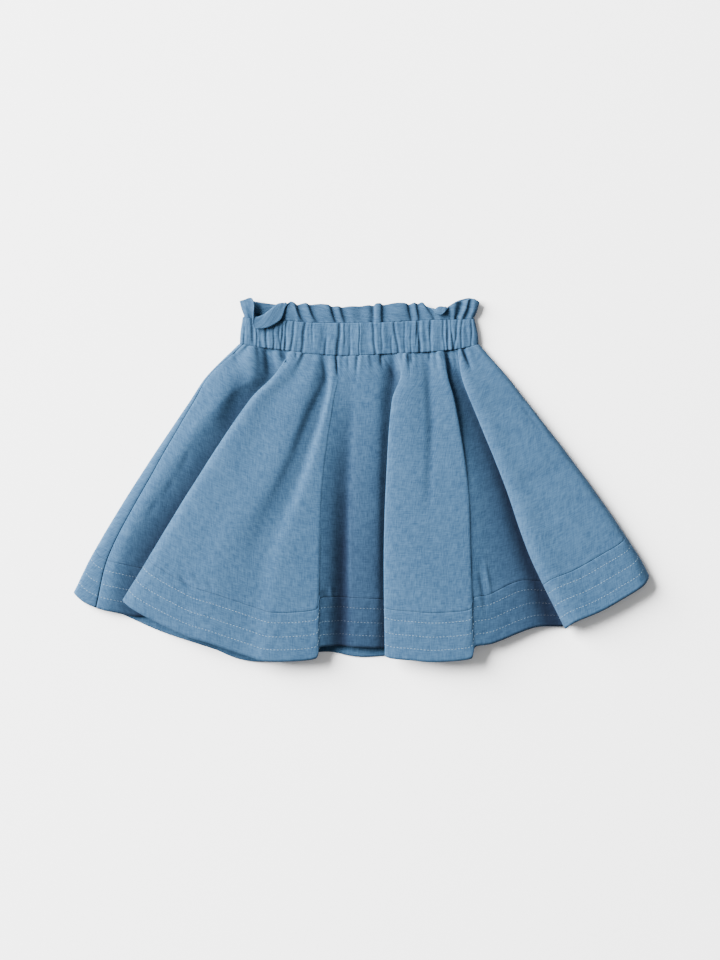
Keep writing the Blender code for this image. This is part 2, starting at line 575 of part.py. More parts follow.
def back_frill_rows():
    """Folds of the back frill between the two ends, from right to left, as even shallow waves."""
    tips = np.array(BACK_FRILL_TIPS)[::-1]
    first = FRONT_FRILL[-1]
    last = FRONT_FRILL[0]
    rows = []
    count = 2 * BACK_FRILL_WAVES
    for step in range(1, count):
        share = step / count
        foot = first[0] + (last[0] - first[0]) * share
        tip = first[5] + (last[5] - first[5]) * share
        height = BACK_FRILL_HEIGHT + BACK_FRILL_RISE * (1 if step % 2 else -1)
        tip_down = float(smooth_line(tips[:, 0], tips[:, 1], tip))
        bend_down = (float(frill_foot(foot)) + tip_down) / 2
        rows.append((foot, height, (foot + tip) / 2, bend_down, height, tip, tip_down, height))
    return rows


def frill_line(row):
    """The points of one fold of the frill, from its foot over its bend to its tip, evenly spaced."""
    foot, foot_height, bend, bend_down, bend_height, tip, tip_down, tip_height = row
    foot_down = float(frill_foot(foot)) - SEAM_GAP / MM / 2
    rise = foot_down - FRILL_ROOT
    across = (foot, foot, bend, tip)
    down = (foot_down, rise, min(bend_down, rise - FRILL_ROOT), tip_down)
    stops = placed(across, down, (foot_height, foot_height, bend_height, tip_height))
    line = curve_through(stops[:, None, :], FRILL_SAMPLES)[:, 0]
    run = np.concatenate([[0.0], np.cumsum(np.linalg.norm(np.diff(line, axis=0), axis=1))])
    return cut_lengths(line, run, np.linspace(0.0, run[-1], FRILL_STEPS + 1))


def add_frills():
    """Front and back of the frill, one ring of waves parted at the sides."""
    rows = FRONT_FRILL + back_frill_rows() + FRONT_FRILL[:1]
    ring = softened(curve_through(np.array([frill_line(row) for row in rows]), [2] * (len(rows) - 1)))
    ring[:, :, 2] = np.maximum(ring[:, :, 2], FRILL_CLOTH / 2)
    normals = slopes_out(ring)
    parting = 2 * (len(FRONT_FRILL) - 1)
    for side, part in (("front", slice(0, parting + 1)), ("back", slice(parting, None))):
        add_piece(side + "_frill", *two_faces(drawn_in(ring[part]), normals[part], FRILL_CLOTH))


for old in list(bpy.data.objects):
    bpy.data.objects.remove(old)
skirt = bpy.data.collections.new("chambray_skirt")
bpy.context.scene.collection.children.link(skirt)
add_skirt()
add_casings()
add_frills()
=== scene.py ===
"""A child's chambray skirt, laid flat on its back with its front up, as seen from straight above.

The front and back panels, their hem bands, the gathered elastic casing and the frill are thin shells
of cloth on the forms of the part's solids, with the creases, gathers and stitches that those leave
out. The tables are in millimetres over the laid-out cloth: "across" from the middle of the waist to
the right, "down" from about the top of the frill, and "height" above the table.
"""

import bpy
import numpy as np
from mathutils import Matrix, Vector


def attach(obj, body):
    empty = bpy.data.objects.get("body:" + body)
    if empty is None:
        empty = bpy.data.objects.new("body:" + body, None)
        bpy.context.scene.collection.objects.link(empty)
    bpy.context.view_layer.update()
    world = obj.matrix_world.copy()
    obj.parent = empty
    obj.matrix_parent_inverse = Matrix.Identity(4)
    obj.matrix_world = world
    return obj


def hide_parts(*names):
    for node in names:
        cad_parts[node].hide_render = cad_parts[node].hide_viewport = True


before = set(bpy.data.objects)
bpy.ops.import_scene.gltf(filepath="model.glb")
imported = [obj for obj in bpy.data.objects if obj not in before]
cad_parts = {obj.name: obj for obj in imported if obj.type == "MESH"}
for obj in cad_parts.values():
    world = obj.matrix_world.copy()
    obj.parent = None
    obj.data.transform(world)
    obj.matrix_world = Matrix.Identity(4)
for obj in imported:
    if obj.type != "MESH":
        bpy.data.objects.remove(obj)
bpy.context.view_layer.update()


# The camera
# The skirt is seen from straight above, with its hem towards the foot of the picture. The camera
# stands well back, so that the high flutes stay where the flat cloth under them is.
VIEW_HEIGHT = 3.0
VIEW_ACROSS, VIEW_ALONG = -0.0005, -0.0007      # the middle of the picture on the skirt
VIEW_LENGTH = 0.960                             # length of the table that the picture takes in
SENSOR = 36.0
camera = bpy.data.objects.new("camera", bpy.data.cameras.new("camera"))
camera.data.sensor_fit = "VERTICAL"
camera.data.sensor_height = SENSOR
camera.data.lens = SENSOR * VIEW_HEIGHT / VIEW_LENGTH
camera.location = (VIEW_ACROSS, VIEW_ALONG, VIEW_HEIGHT)
bpy.context.scene.collection.objects.link(camera)
bpy.context.scene.camera = camera


# The front and back panels and their hem bands
# Each is chambray, cut wide and gathered at the waist, so that it falls into three soft flutes with
# recesses between them. The back panel wraps round to the front at the left. The bands are double
# cloth, sewn on below a seam, with three rows of stitches round them.
MM = 0.001                      # the tables' millimetres, in the scene's metres
LAYOUT_CENTRE = (0.5, 179.3)    # across and down of the skirt's middle, which lies on the origin
HEM_BAND = 49.0                 # depth of the hem band, along the cloth
BACK_HEIGHT = 0.6               # height of the middle of the back panel's cloth
WALL_HALF = 0.6                 # the cloth's outside stands this far out of the tube's middle
PANEL_THICKNESS = 0.5
BAND_THICKNESS = 0.9
SEAM_GAP = 0.06                 # between the edges of pieces that are sewn together
LEVELS = (76, 100, 180, 255)    # places down the skirt where the fold tables give a position

WAIST_LINES = [
    # across, waist_seam, frill_foot
    (-120, 44.3, 16.8),
    (-110, 46.0, 18.2),
    (-98, 47.7, 21.6),
    (-86, 49.3, 21.4),
    (-75, 50.6, 20.8),
    (-50, 54.0, 22.7),
    (-20, 56.0, 23.0),
    (0, 55.8, 22.8),
    (25, 54.3, 22.4),
    (50, 53.2, 21.2),
    (75, 51.8, 20.1),
    (100, 48.9, 19.8),
    (119, 45.0, 19.3),
]
WAIST_SEAM, FRILL_FOOT = 1, 2   # columns of the table above

FRONT_FOLDS = [
    # name, across at the waist, the levels and the hem, hem_down, height at the same places
    ("left side seam", (-117, -150.4, -165.4, -210.6, -249.6, -262), 308.3, (4.9, 5.1, 5.2, 6, 5.8, 5.2)),
    ("recess 1 rise", (-113, -142, -152, -203, -244, -256), 310, (5, 7, 7.8, 8, 7.2, 5.8)),
    ("recess 1 swell", (-106.5, -109, -137, -194, -236, -248), 311.6, (6.2, 8.2, 8.8, 8.2, 7.4, 5.4)),
    ("recess 1 floor", (-90, -88, -110, -154, -201, -222), 316.5, (3, 2.9, 2.9, 2.9, 2.8, 2.8)),
    ("recess 1 turn", (-82, -80, -100, -147, -193, -213), 314, (5, 5.2, 5.1, 5, 5, 5)),
    ("flute 1 under left", (-74, -78, -100, -149, -194, -217), 307, (3.8, 6.8, 7.2, 7.4, 7.4, 7.4)),
    ("flute 1 left edge", (-69, -85.5, -109.5, -163, -209, -236.3), 299.5, (5.4, 8.2, 9.3, 10, 10.2, 10.2)),
    ("brow 1 left", (-63.5, -81.3, -105.5, -157.5, -202.5, -229.5), 306.5, (6, 9.8, 11.6, 13, 13.4, 13.4)),
    ("flute 1 dip", (-54.5, -64, -86, -118, -158, -173), 335.5, (5.2, 8.4, 10.8, 14.2, 15.6, 15.6)),
    ("flute 1 swell", (-44, -48, -56, -86, -137, -155), 341, (5.9, 8.8, 11, 14.4, 16.2, 16)),
    ("valley 1", (-33.5, -33, -36, -62.5, -93, -110), 356, (4.4, 5.2, 6.4, 10.2, 13.6, 15)),
    ("ridge 1", (-26.5, -28, -31, -52.5, -79, -95), 360.4, (5.7, 7.6, 9.2, 12.4, 14.8, 16.2)),
    ("brow 1 right", (-23, -23.6, -28.6, -40.2, -43.2, -44.6), 358, (5.4, 7.4, 9.2, 12, 13.4, 14.2)),
    ("flute 1 right edge", (-20.6, -21.8, -26.8, -38.2, -41.2, -42.5), 356, (5.3, 7.3, 9, 11.7, 13, 13.8)),
    ("flute 1 under right", (-19.8, -21, -26, -37.2, -40.2, -41.6), 351.5, (5.2, 7.1, 8.7, 11.3, 12.6, 13.4)),
    ("recess 2 turn", (-18.4, -19.8, -24.4, -35.6, -38.8, -40.4), 347, (5.2, 7, 8.5, 10.9, 12, 12.6)),
    ("recess 2 left floor", (-13.4, -14.5, -18, -26.6, -29, -30.6), 345.8, (5.2, 6.9, 7.9, 8.4, 8.8, 9)),
    ("recess 2 valley", (-7, -7.5, -8.5, -13.6, -16.4, -18), 345.5, (5.4, 6.8, 7.4, 5.2, 4, 4.4)),
    ("recess 2 ridge", (2, 0, -1, -4.4, -6.6, -6.6), 346.6, (5.6, 7.2, 7.8, 7.6, 7.6, 7.2)),
    ("recess 2 right floor", (13, 20, 19, 17.5, 17, 15.5), 347.6, (5.6, 6.6, 7.4, 7.4, 7.4, 7.2)),
    ("recess 2 dip", (19, 32.5, 29.5, 25.5, 24.5, 25), 348.2, (4.6, 2.9, 3.8, 4.4, 4.6, 5)),
    ("recess 2 foot", (23, 36, 36, 42, 45, 47), 349, (4, 3.4, 3.4, 2.9, 2.8, 2.8)),
    ("recess 2 right turn", (28, 42, 41, 46.5, 50, 52), 350.5, (4.6, 5, 5.4, 5.2, 5, 5)),
    ("flute 2 under left", (33.5, 43, 39, 41, 44, 46), 352, (4.6, 6.4, 8, 7.8, 7.6, 7.6)),
    ("flute 2 left edge", (39, 41, 32.4, 26.4, 24, 25), 355.2, (5.6, 8.8, 10.8, 12.4, 12.8, 12.8)),
    ("brow 2 left", (44.5, 46, 36.5, 30.5, 29, 30), 357.6, (6, 9.8, 12.2, 13.8, 14.4, 14.4)),
    ("flute 2 swell", (53.5, 54, 51, 48, 48, 51), 359.6, (4.8, 9.6, 12.6, 14.8, 15.8, 16)),
    ("valley 2", (69.5, 71.5, 74, 73, 72, 72), 361.3, (4.4, 7.4, 10.2, 14.2, 16, 16.6)),
    ("brow 2 right", (81, 85.6, 92.3, 104.6, 107.6, 110), 358, (5.7, 8.1, 10.4, 13.7, 15.2, 15.8)),
    ("flute 2 right edge", (84, 87.2, 93.9, 106.4, 109.6, 111.9), 356.4, (5.2, 7.6, 9.8, 13.3, 14.8, 15.4)),
    ("flute 2 under right", (85.2, 87, 93.8, 107.4, 110.5, 112.9), 351.4, (4.6, 6.8, 8.6, 12.6, 14.2, 15)),
    ("recess 3 turn", (86.6, 87.6, 94.8, 109, 112, 114.4), 346.4, (4, 4.8, 6.6, 11.9, 13.6, 14.2)),
    ("recess 3 left floor", (88.5, 90.4, 98, 117.5, 125, 131), 343.4, (3.6, 3.6, 4.8, 9.4, 11, 11.2)),
    ("recess 3 swell", (91.2, 94.2, 103, 131.5, 153, 176), 326.9, (3.4, 3.1, 3.6, 5.8, 7.2, 7.4)),
    ("recess 3 floor", (94.5, 99, 110.4, 145, 172.5, 203), 326, (3.2, 2.8, 2.8, 2.8, 2.8, 2.8)),
    ("flute 3 foot", (97, 105, 115.5, 150, 178.5, 208), 323.5, (4.6, 5, 5.6, 5.8, 5.6, 5.4)),
    ("flute 3 left edge", (98.2, 101.5, 110, 142.5, 169, 204.5), 328.4, (5.6, 7.8, 9.4, 9.8, 9.8, 9.6)),
    ("brow 3 left", (100.5, 105.5, 115.5, 149, 177, 213), 322.5, (5.9, 9.2, 11.2, 12.8, 13.6, 13.8)),
    ("flute 3 crest", (103.5, 113, 129, 170, 205, 240), 311, (4.6, 8.8, 11, 12.7, 13.4, 13.4)),
    ("flute 3 dip", (108, 126.5, 151.5, 201, 240, 262), 298.6, (5.4, 7.8, 9.8, 12.3, 13.4, 13.3)),
    ("brow 3 right", (115.6, 142.8, 161.8, 222, 272, 284), 284, (4.8, 6.8, 8.2, 10.4, 11.4, 11.2)),
    ("right edge", (118.6, 145.4, 164.5, 225.5, 277, 288), 275, (2.9, 3.9, 4.4, 4.6, 4.6, 4.6)),
    ("right underside", (115.2, 141, 159, 219, 269, 280.5), 277.6, (0.6, 0.6, 0.6, 0.6, 0.6, 0.6)),
    ("right side seam", (111, 135, 152, 209, 257, 267), 285.6, (0.6, 0.6, 0.6, 0.6, 0.6, 0.6)),
]
WRAP_FOLDS = [
    # the back panel at the left, where it wraps round to the front: the same columns
    ("left edge", (-120.6, -152.2, -168.8, -222.8, -268.5, -287), 291.5, (2.7, 2.9, 2.9, 3, 3, 3)),
    ("left strip", (-119.4, -151.4, -167.4, -217.2, -260, -276.5), 302, (4.3, 4.4, 4.5, 5.5, 5.7, 5.3)),
]
BACK_FOLDS = [
    # hem, hem_down, rise of the back panel's own soft flutes
    (254, 294.5, 0.0),
    (240, 303.0, 3.4),
    (222, 311.5, 0.0),
    (186, 319.5, 0.0),
    (155, 326.0, 0.0),
    (112, 344.0, 0.0),
    (92, 348.5, 0.4),
    (72, 351.0, 4.0),
    (48, 353.5, 0.0),
    (24, 355.7, 0.0),
    (0, 357.0, 0.0),
    (-14, 355.0, 0.0),
    (-26, 351.9, 0.0),
    (-44, 352.2, 0.0),
    (-66, 357.0, 0.5),
    (-90, 360.9, 4.6),
    (-110, 361.2, 1.0),
    (-128, 356.8, 0.0),
    (-142, 350.4, 0.0),
    (-173, 340.0, 3.0),
    (-200, 331.0, 0.2),
    (-225, 320.0, 0.0),
    (-250, 308.5, 0.0),
    (-270, 300.5, 0.0),
    (-281, 294.0, 0.0),
]

CREASES = [
    # from across, down, to across, down, half width, rise (less than nothing for a trough)
    (-115, 75, -138, 135, 9.0, -1.8),
    (-111, 50, -107, 84, 7.0, 1.3),
    (-126, 50, -121, 68, 2.0, -0.8),
    (-170, 150, -179, 174, 3.5, -0.6),
    (-185, 180, -197, 196, 3.0, -0.5),
    (-203, 200, -210, 216, 3.0, -0.45),
    (-160, 118, -172, 140, 4.0, 0.4),
    (-93.5, 52, -89.5, 80, 3.6, -1.4),
    (-86, 52, -80, 72, 2.6, 1.0),
    (-77.5, 51, -73, 66, 2.6, -2.2),
    (-64.5, 51, -62.5, 61, 1.4, -0.8),
    (-36.5, 55, -33.5, 86, 2.4, -1.0),
    (-23.5, 55, -21.5, 80, 1.5, -1.5),
    (-12, 56, -11, 72, 1.4, -0.5),
    (6, 56, 6.5, 74, 1.6, -0.4),
    (20.6, 54, 22.2, 68, 1.6, -1.4),
    (33, 53, 36.5, 84, 3.6, -1.2),
    (45, 54, 44, 74, 2.2, 0.8),
    (31.5, 57, 33.5, 82, 3.4, -0.9),
    (51, 53, 52.5, 66, 1.6, -1.3),
    (69.5, 52, 69.5, 62, 1.3, -0.9),
    (86.0, 47, 91.5, 74, 2.4, -2.0),
    (102.6, 48, 111.5, 70, 1.8, -1.8),
    (97, 49, 100, 62, 1.3, -0.7),
    (164, 102, 187, 132, 1.1, 0.5),
    (160, 104, 184, 136, 2.2, -0.5),
    (-9.5, 190, -8.5, 318, 1.6, 0.5),
    (-31, 74, -48, 112, 3.8, -0.9),
    (-44, 100, -67, 158, 4.6, -1.1),
    (-61, 146, -89, 206, 6.0, -0.8),
    (-83, 190, -112, 262, 8.0, -0.4),
    (67.5, 50, 71.5, 150, 4.0, -1.0),
    (72, 115, 67.5, 215, 4.5, -0.9),
    (-38, 292, -24, 301, 4.0, -0.8),
    (-30, 288, -27, 303, 1.8, 0.7),
    (119, 270, 126, 316, 2.2, -0.8),
    (124, 262, 131, 300, 2.0, 0.7),
    (-180, 274, -168, 290, 2.2, -0.7),
    (-172, 270, -160, 288, 2.0, 0.6),
    (-152, 280, -146, 292, 2.0, -0.5),
    (110, 190, 150, 150, 5.0, 0.3),
    (150, 190, 210, 155, 6.0, -0.35),
    (175, 235, 235, 205, 6.0, 0.3),
]

FRONT_COLUMN = 1.45         # longest step between columns of the front, at the hem
BACK_COLUMN = 3.2
FEWEST_COLUMNS = 9          # between two fold lines of the front
LINE_POINTS = 121
PANEL_ROWS = 74
BAND_ROWS = 24
END_CLOSING = 0.12          # how much the panels' rows close up towards both ends
SEAM_CLOSING = 1.3          # power by which the bands' rows close up towards their seam
ROUNDING = 4                # passes that round the cloth's turns
SMOOTHING = 40              # passes that leave the smooth form, over which the folds' height is taken
BACK_GROWTH = np.array((0.0, 0.1, 0.2, 0.55, 0.85, 1.0))    # of the back's flutes, from waist to hem

STITCH_ROWS = (10.0, 24.0, 37.0)            # below the band seam
ROW_DENT, ROW_DENT_WIDTH = 0.13, 1.1        # the dent that a row of stitches makes
BAND_SEAM = (0.2, 0.7, 0.12, -2.6, 1.5)     # groove and its half width, swell, its place and half width
SIDE_SEAM = (0.34, 0.6, 0.14, 3.0, 1.6)
SEAM_FULL, SEAM_LEAST = 60.0, 0.15          # length down which a side seam grows, and its share at the waist
PUCKER_ROWS = (-3.0, *STITCH_ROWS)
PUCKER_REACH, PUCKER_SPACING, PUCKER_SLANT = 5.0, 4.6, 0.35
PUCKER_RISE, PUCKER_MORE, PUCKER_STRETCH = 0.09, 0.13, 34.0     # least rise, and what some stretches add
GATHER_RISE, GATHER_SPACING, GATHER_REACH = 0.75, 3.0, 17.0     # small gathers below the waist seam
BUCKLE_RISE, BUCKLE_ROUND, BUCKLE_DOWN = 0.22, 17.0, 23.0       # broad soft buckles of the loose cloth
WAIST_TUCK = 0.2            # how far the waist seam draws the cloth's top row in
LIFT_OFF = 0.5              # height over the table at which the underside's cloth has its full relief

FLUTE_TOPS = [
    # down, height
    (50, 6.0),
    (76, 10.5),
    (100, 11.5),
    (180, 14.0),
    (255, 15.5),
    (350, 16.0),
]
PAINTED_SHADE_START, PAINTED_SHADE_REACH = 3.0, 8.0   # how far below the flutes' tops the painted shade starts, and its reach
# fold lines between which the painted shade of the recesses grows in and dies away
PAINTED_SHADE_LIMITS = ("recess 1 rise", "recess 1 floor", "flute 3 left edge", "flute 3 crest")
CREASE_FULL, CREASE_PAINTED_DARKEST = 5.0, 0.5  # depth of a crease for a full painted shade, and the most painted shade that it gets
CREASE_HEAD = 0.12                      # share of a crease's sine that lies before its start


def smooth_lines(knots, values, at):
    """Curves through rows of values at rows of knots, read at rows of places.

    Between two knots the curve is the cubic that has the right values and slopes there. The slope at
    a knot is that of the straight line between its two neighbours.
    """
    knots, values, at = (np.atleast_2d(np.asarray(part, float)) for part in (knots, values, at))
    step = np.diff(knots, axis=1)
    rise = np.diff(values, axis=1) / step
    inner = (values[:, 2:] - values[:, :-2]) / (knots[:, 2:] - knots[:, :-2])
    slopes = np.concatenate([rise[:, :1], inner, rise[:, -1:]], axis=1)
    at = np.clip(at, knots[:, :1], knots[:, -1:])
    cell = (at[:, :, None] >= knots[:, None, 1:-1]).sum(axis=2)

    def pick(table, offset=0):
        return np.take_along_axis(np.broadcast_to(table, (len(at), table.shape[1])), cell + offset, axis=1)

    span = pick(step)
    t = (at - pick(knots)) / span
    return (
        (1 + 2 * t) * (1 - t) ** 2 * pick(values)
        + t * (1 - t) ** 2 * span * pick(slopes)
        + t * t * (3 - 2 * t) * pick(values, 1)
        + t * t * (t - 1) * span * pick(slopes, 1)
    )


def waist_line(column, across):
    """How far down one of the waist's two lines lies, at places across it."""
    table = np.array(WAIST_LINES)
    return smooth_lines(table[:, 0], table[:, column], across.reshape(1, -1)).reshape(across.shape)


def curve_through(points, steps):
    """Centripetal curve through points (folds, rows, 3), with steps[i] columns after fold i.

    The knots stand a root of a chord apart, and each column is blended from its four nearest folds
    by three rounds of straight interpolation between those knots.
    """
    line = np.concatenate([2 * points[:1] - points[1:2], points, 2 * points[-1:] - points[-2:-1]])
    chords = np.sqrt(np.linalg.norm(np.diff(line, axis=0), axis=2))
    knots = np.concatenate([np.zeros_like(chords[:1]), np.cumsum(np.maximum(chords, 1e-3), axis=0)])
    cell = np.repeat(np.arange(len(steps)), steps)
    share = np.concatenate([np.arange(count) / count for count in steps])[:, None, None]
    near = [line[cell + k] for k in range(4)]
    knot = [knots[cell + k][:, :, None] for k in range(4)]
    at = knot[1] + (knot[2] - knot[1]) * share

    def between(a, b, from_knot, to_knot):
        return ((to_knot - at) * a + (at - from_knot) * b) / (to_knot - from_knot)

    first = [between(near[k], near[k + 1], knot[k], knot[k + 1]) for k in range(3)]
    second = [between(first[k], first[k + 1], knot[k], knot[k + 2]) for k in range(2)]
    return np.concatenate([between(second[0], second[1], knot[1], knot[2]), points[-1:]])


def softened(ring, passes):
    """A closed ring of cloth, each column moved half way to its neighbours' middle in every pass."""
    ring = ring[:-1]
    for _ in range(passes):
        ring = ring / 2 + (np.roll(ring, 1, axis=0) + np.roll(ring, -1, axis=0)) / 4
    return np.concatenate([ring, ring[:1]])


def slopes_out(ring):
    """Unit normals of a closed ring: the step down the cloth crossed with the step round it."""
    round_it = np.roll(ring[:-1], -1, axis=0) - np.roll(ring[:-1], 1, axis=0)
    normals = np.cross(np.gradient(ring[:-1], axis=1), round_it)
    normals /= np.linalg.norm(normals, axis=2, keepdims=True)
    return np.concatenate([normals, normals[:1]])


def lengths(grid, axis):
    """Length along a grid of points, from its first row or column."""
    steps = np.linalg.norm(np.diff(grid, axis=axis), axis=2)
    run = np.cumsum(steps, axis=axis)
    return np.concatenate([np.zeros_like(run[:1] if axis == 0 else run[:, :1]), run], axis=axis)


def at_rows(grid, places, stops):
    """The grid's columns read at stops on their scale of places, by straight interpolation."""
    cell = np.clip((places[:, None, :] <= stops[:, :, None]).sum(axis=2) - 1, 0, places.shape[1] - 2)
    start = np.take_along_axis(places, cell, axis=1)
    share = ((stops - start) / (np.take_along_axis(places, cell + 1, axis=1) - start))[:, :, None]
    upper = np.take_along_axis(grid, cell[:, :, None], axis=1)
    lower = np.take_along_axis(grid, cell[:, :, None] + 1, axis=1)
    return upper + (lower - upper) * share


def on_table(grid):
    """Points given across, down and up, measured from the skirt's middle with the waist towards +Y."""
    return np.concatenate([(grid[:, :, :2] - LAYOUT_CENTRE) * (1.0, -1.0), grid[:, :, 2:]], axis=2)


def uneven(places, spacing, seed):
    """A smooth uneven wave of about one unit, with a new random value every spacing of the places."""
    count = int(np.ceil((places.max() - places.min()) / spacing)) + 2
    knots = places.min() + spacing * np.arange(count)
    values = np.random.default_rng(seed).uniform(-1.0, 1.0, count)
    return smooth_lines(knots, values, places.reshape(1, -1)).reshape(places.shape)


def bell(distance, half_width):
    """A bell of height one: e to the power of minus the squared distance in half widths."""
    return np.exp(-((distance / half_width) ** 2))


def crease_rise(across, down):
    """How far creases lift or lower the cloth: a bell across each, and a sine along it."""
    rise = np.zeros_like(across)
    for from_across, from_down, to_across, to_down, half_width, height in CREASES:
        run = np.array([to_across - from_across, to_down - from_down])
        length = np.hypot(*run)
        run = run / length
        along = ((across - from_across) * run[0] + (down - from_down) * run[1]) / length
        aside = (across - from_across) * run[1] - (down - from_down) * run[0]
        fade = np.sin(np.pi * np.clip(CREASE_HEAD + (1.0 - CREASE_HEAD) * along, 0.0, 1.0))
        rise += height * bell(aside, half_width) * fade
    return rise


def seam_rise(beside, groove, groove_width, swell, swell_at, swell_width):
    """A seam's relief: a bell-shaped groove on its line, and a low swell over the cloth turned in."""
    return swell * bell(beside - swell_at, swell_width) - groove * bell(beside, groove_width)


def skirt_ring():
    """The skirt's tube of cloth, in millimetres, from the left side seam round the front and back.

    Each fold line is a smooth curve down the skirt through its places at the waist, the levels and
    the hem. The back's lines keep their share of the width between the two edges.
    """
    right = next(row for row in FRONT_FOLDS if row[0] == "right edge")
    left_across, right_across = np.array(WRAP_FOLDS[0][1]), np.array(right[1])
    back = []
    for hem, hem_down, rise in BACK_FOLDS:
        share = (hem - left_across[-1]) / (right_across[-1] - left_across[-1])
        across = left_across + (right_across - left_across) * share
        back.append(("back", across, hem_down, BACK_HEIGHT + rise * BACK_GROWTH))
    rows = FRONT_FOLDS + back + WRAP_FOLDS + FRONT_FOLDS[:1]
    across = np.array([row[1] for row in rows])
    hem_down = np.array([row[2] for row in rows])
    height = np.array([row[3] for row in rows])
    waist_down = waist_line(WAIST_SEAM, across[:, 0])
    knots = np.column_stack([waist_down, np.tile(LEVELS, (len(rows), 1)), hem_down])
    down = waist_down[:, None] + (hem_down - waist_down)[:, None] * np.linspace(0.0, 1.0, LINE_POINTS)
    folds = np.stack([smooth_lines(knots, across, down), down, smooth_lines(knots, height, down)], axis=2)
    gaps = np.linalg.norm(np.diff(folds[:, -1], axis=0), axis=1)
    front = len(FRONT_FOLDS) - 1
    steps = np.concatenate([
        np.maximum(FEWEST_COLUMNS, np.ceil(gaps[:front] / FRONT_COLUMN)),
        np.maximum(2, np.ceil(gaps[front:] / BACK_COLUMN)),
    ]).astype(int)
    ring = softened(curve_through(folds, steps), ROUNDING)
    ring[:, :, 2] = np.maximum(ring[:, :, 2], BACK_HEIGHT)
    return ring, np.concatenate([[0], np.cumsum(steps)])


ring, fold_columns = skirt_ring()
ring = on_table(ring)
parting = fold_columns[len(FRONT_FOLDS) - 1]
along_lines = lengths(ring, 1)
whole = along_lines[:, -1:]
even_share = np.linspace(0.0, 1.0, PANEL_ROWS)
panel_share = even_share - END_CLOSING * np.sin(2 * np.pi * even_share)
band_share = 1.0 - np.linspace(0.0, 1.0, BAND_ROWS) ** SEAM_CLOSING
to_seam = (whole - HEM_BAND - SEAM_GAP / 2) * panel_share
from_seam = whole - (HEM_BAND - SEAM_GAP / 2) * band_share
down_cloth = np.concatenate([to_seam, from_seam], axis=1)
below_seam = down_cloth - (whole - HEM_BAND)
ring = at_rows(ring, along_lines, down_cloth)
smooth_form = softened(ring, SMOOTHING)
normals = slopes_out(ring)

# relief: the front's creases, puckers along the rows of stitches, the seams, gathers and buckles
faces_up = np.clip(normals[:, :, 2] * 2.0, 0.0, 1.0)
on_front = (np.arange(len(ring)) <= parting)[:, None]
relief = crease_rise(ring[:, :, 0] + LAYOUT_CENTRE[0], LAYOUT_CENTRE[1] - ring[:, :, 1])
relief *= faces_up * on_front
# painted shade in the troughs of the deeper creases
painted_crease_shade = np.clip(-relief / CREASE_FULL, 0.0, CREASE_PAINTED_DARKEST)
round_cloth = lengths(ring, 0)
hem_run = round_cloth[:, -BAND_ROWS:].mean(axis=1, keepdims=True)
pucker = bell(below_seam[:, :, None] - PUCKER_ROWS, PUCKER_REACH).sum(axis=2)
strength = PUCKER_RISE + PUCKER_MORE * np.clip(uneven(hem_run, PUCKER_STRETCH, seed=3) + 0.2, 0.0, 1.0)
relief += pucker * strength * uneven(hem_run + PUCKER_SLANT * below_seam, PUCKER_SPACING, seed=5)
relief += seam_rise(below_seam, *BAND_SEAM)
for row in STITCH_ROWS:
    relief -= ROW_DENT * bell(below_seam - row, ROW_DENT_WIDTH)
for edge in (0, parting, len(ring) - 1):
    beside = np.abs(round_cloth - round_cloth[edge : edge + 1])
    relief += seam_rise(beside, *SIDE_SEAM) * np.clip(down_cloth / SEAM_FULL, SEAM_LEAST, 1.0)
gather = bell(down_cloth, GATHER_REACH) * faces_up * GATHER_RISE
relief += gather * uneven(round_cloth[:, :1], GATHER_SPACING, seed=8)
buckle = BUCKLE_RISE * uneven(round_cloth[:, :1], BUCKLE_ROUND, seed=9)
relief += buckle * uneven(down_cloth[:1], BUCKLE_DOWN, seed=4)
relief[:, 0] -= WAIST_TUCK

# cloth whose face is down on the table stays flat
flat_under = np.clip((ring[:, :, 2] - BACK_HEIGHT) / LIFT_OFF, 0.0, 1.0)
relief *= np.where(normals[:, :, 2] < -0.5, flat_under, 1.0)
ring = ring + normals * relief[:, :, None]
normals = slopes_out(ring)
fold_height = ((ring - smooth_form) * normals).sum(axis=2)

# recess: shade painted into the cloth's colour, by its depth below the flutes' tops, and in the deeper
# creases
flute_top = np.interp(LAYOUT_CENTRE[1] - ring[:, :, 1], *np.transpose(FLUTE_TOPS))
names = [row[0] for row in FRONT_FOLDS]
limits = [fold_columns[names.index(name)] for name in PAINTED_SHADE_LIMITS]
painted_shade_span = np.interp(np.arange(len(ring)), limits, (0.0, 1.0, 1.0, 0.0))[:, None]
recess = np.clip((flute_top - ring[:, :, 2] - PAINTED_SHADE_START) / PAINTED_SHADE_REACH, 0.0, 1.0) * painted_shade_span
recess = np.maximum(recess, painted_crease_shade)

BLUE_YARN = (0.0142, 0.0388, 0.0776)
PALE_YARN = (0.0311, 0.0716, 0.128)
PAINTED_SHADE_TINT = (0.17, 0.16, 0.205)       # what is left of the cloth's colour in full painted shade
WEAVE_HEIGHT = 0.0004                   # of the yarns' bump, in metres
YARN_BANDS = 440.0                      # scale of the yarns' own pattern, for a yarn of about 0.7 mm


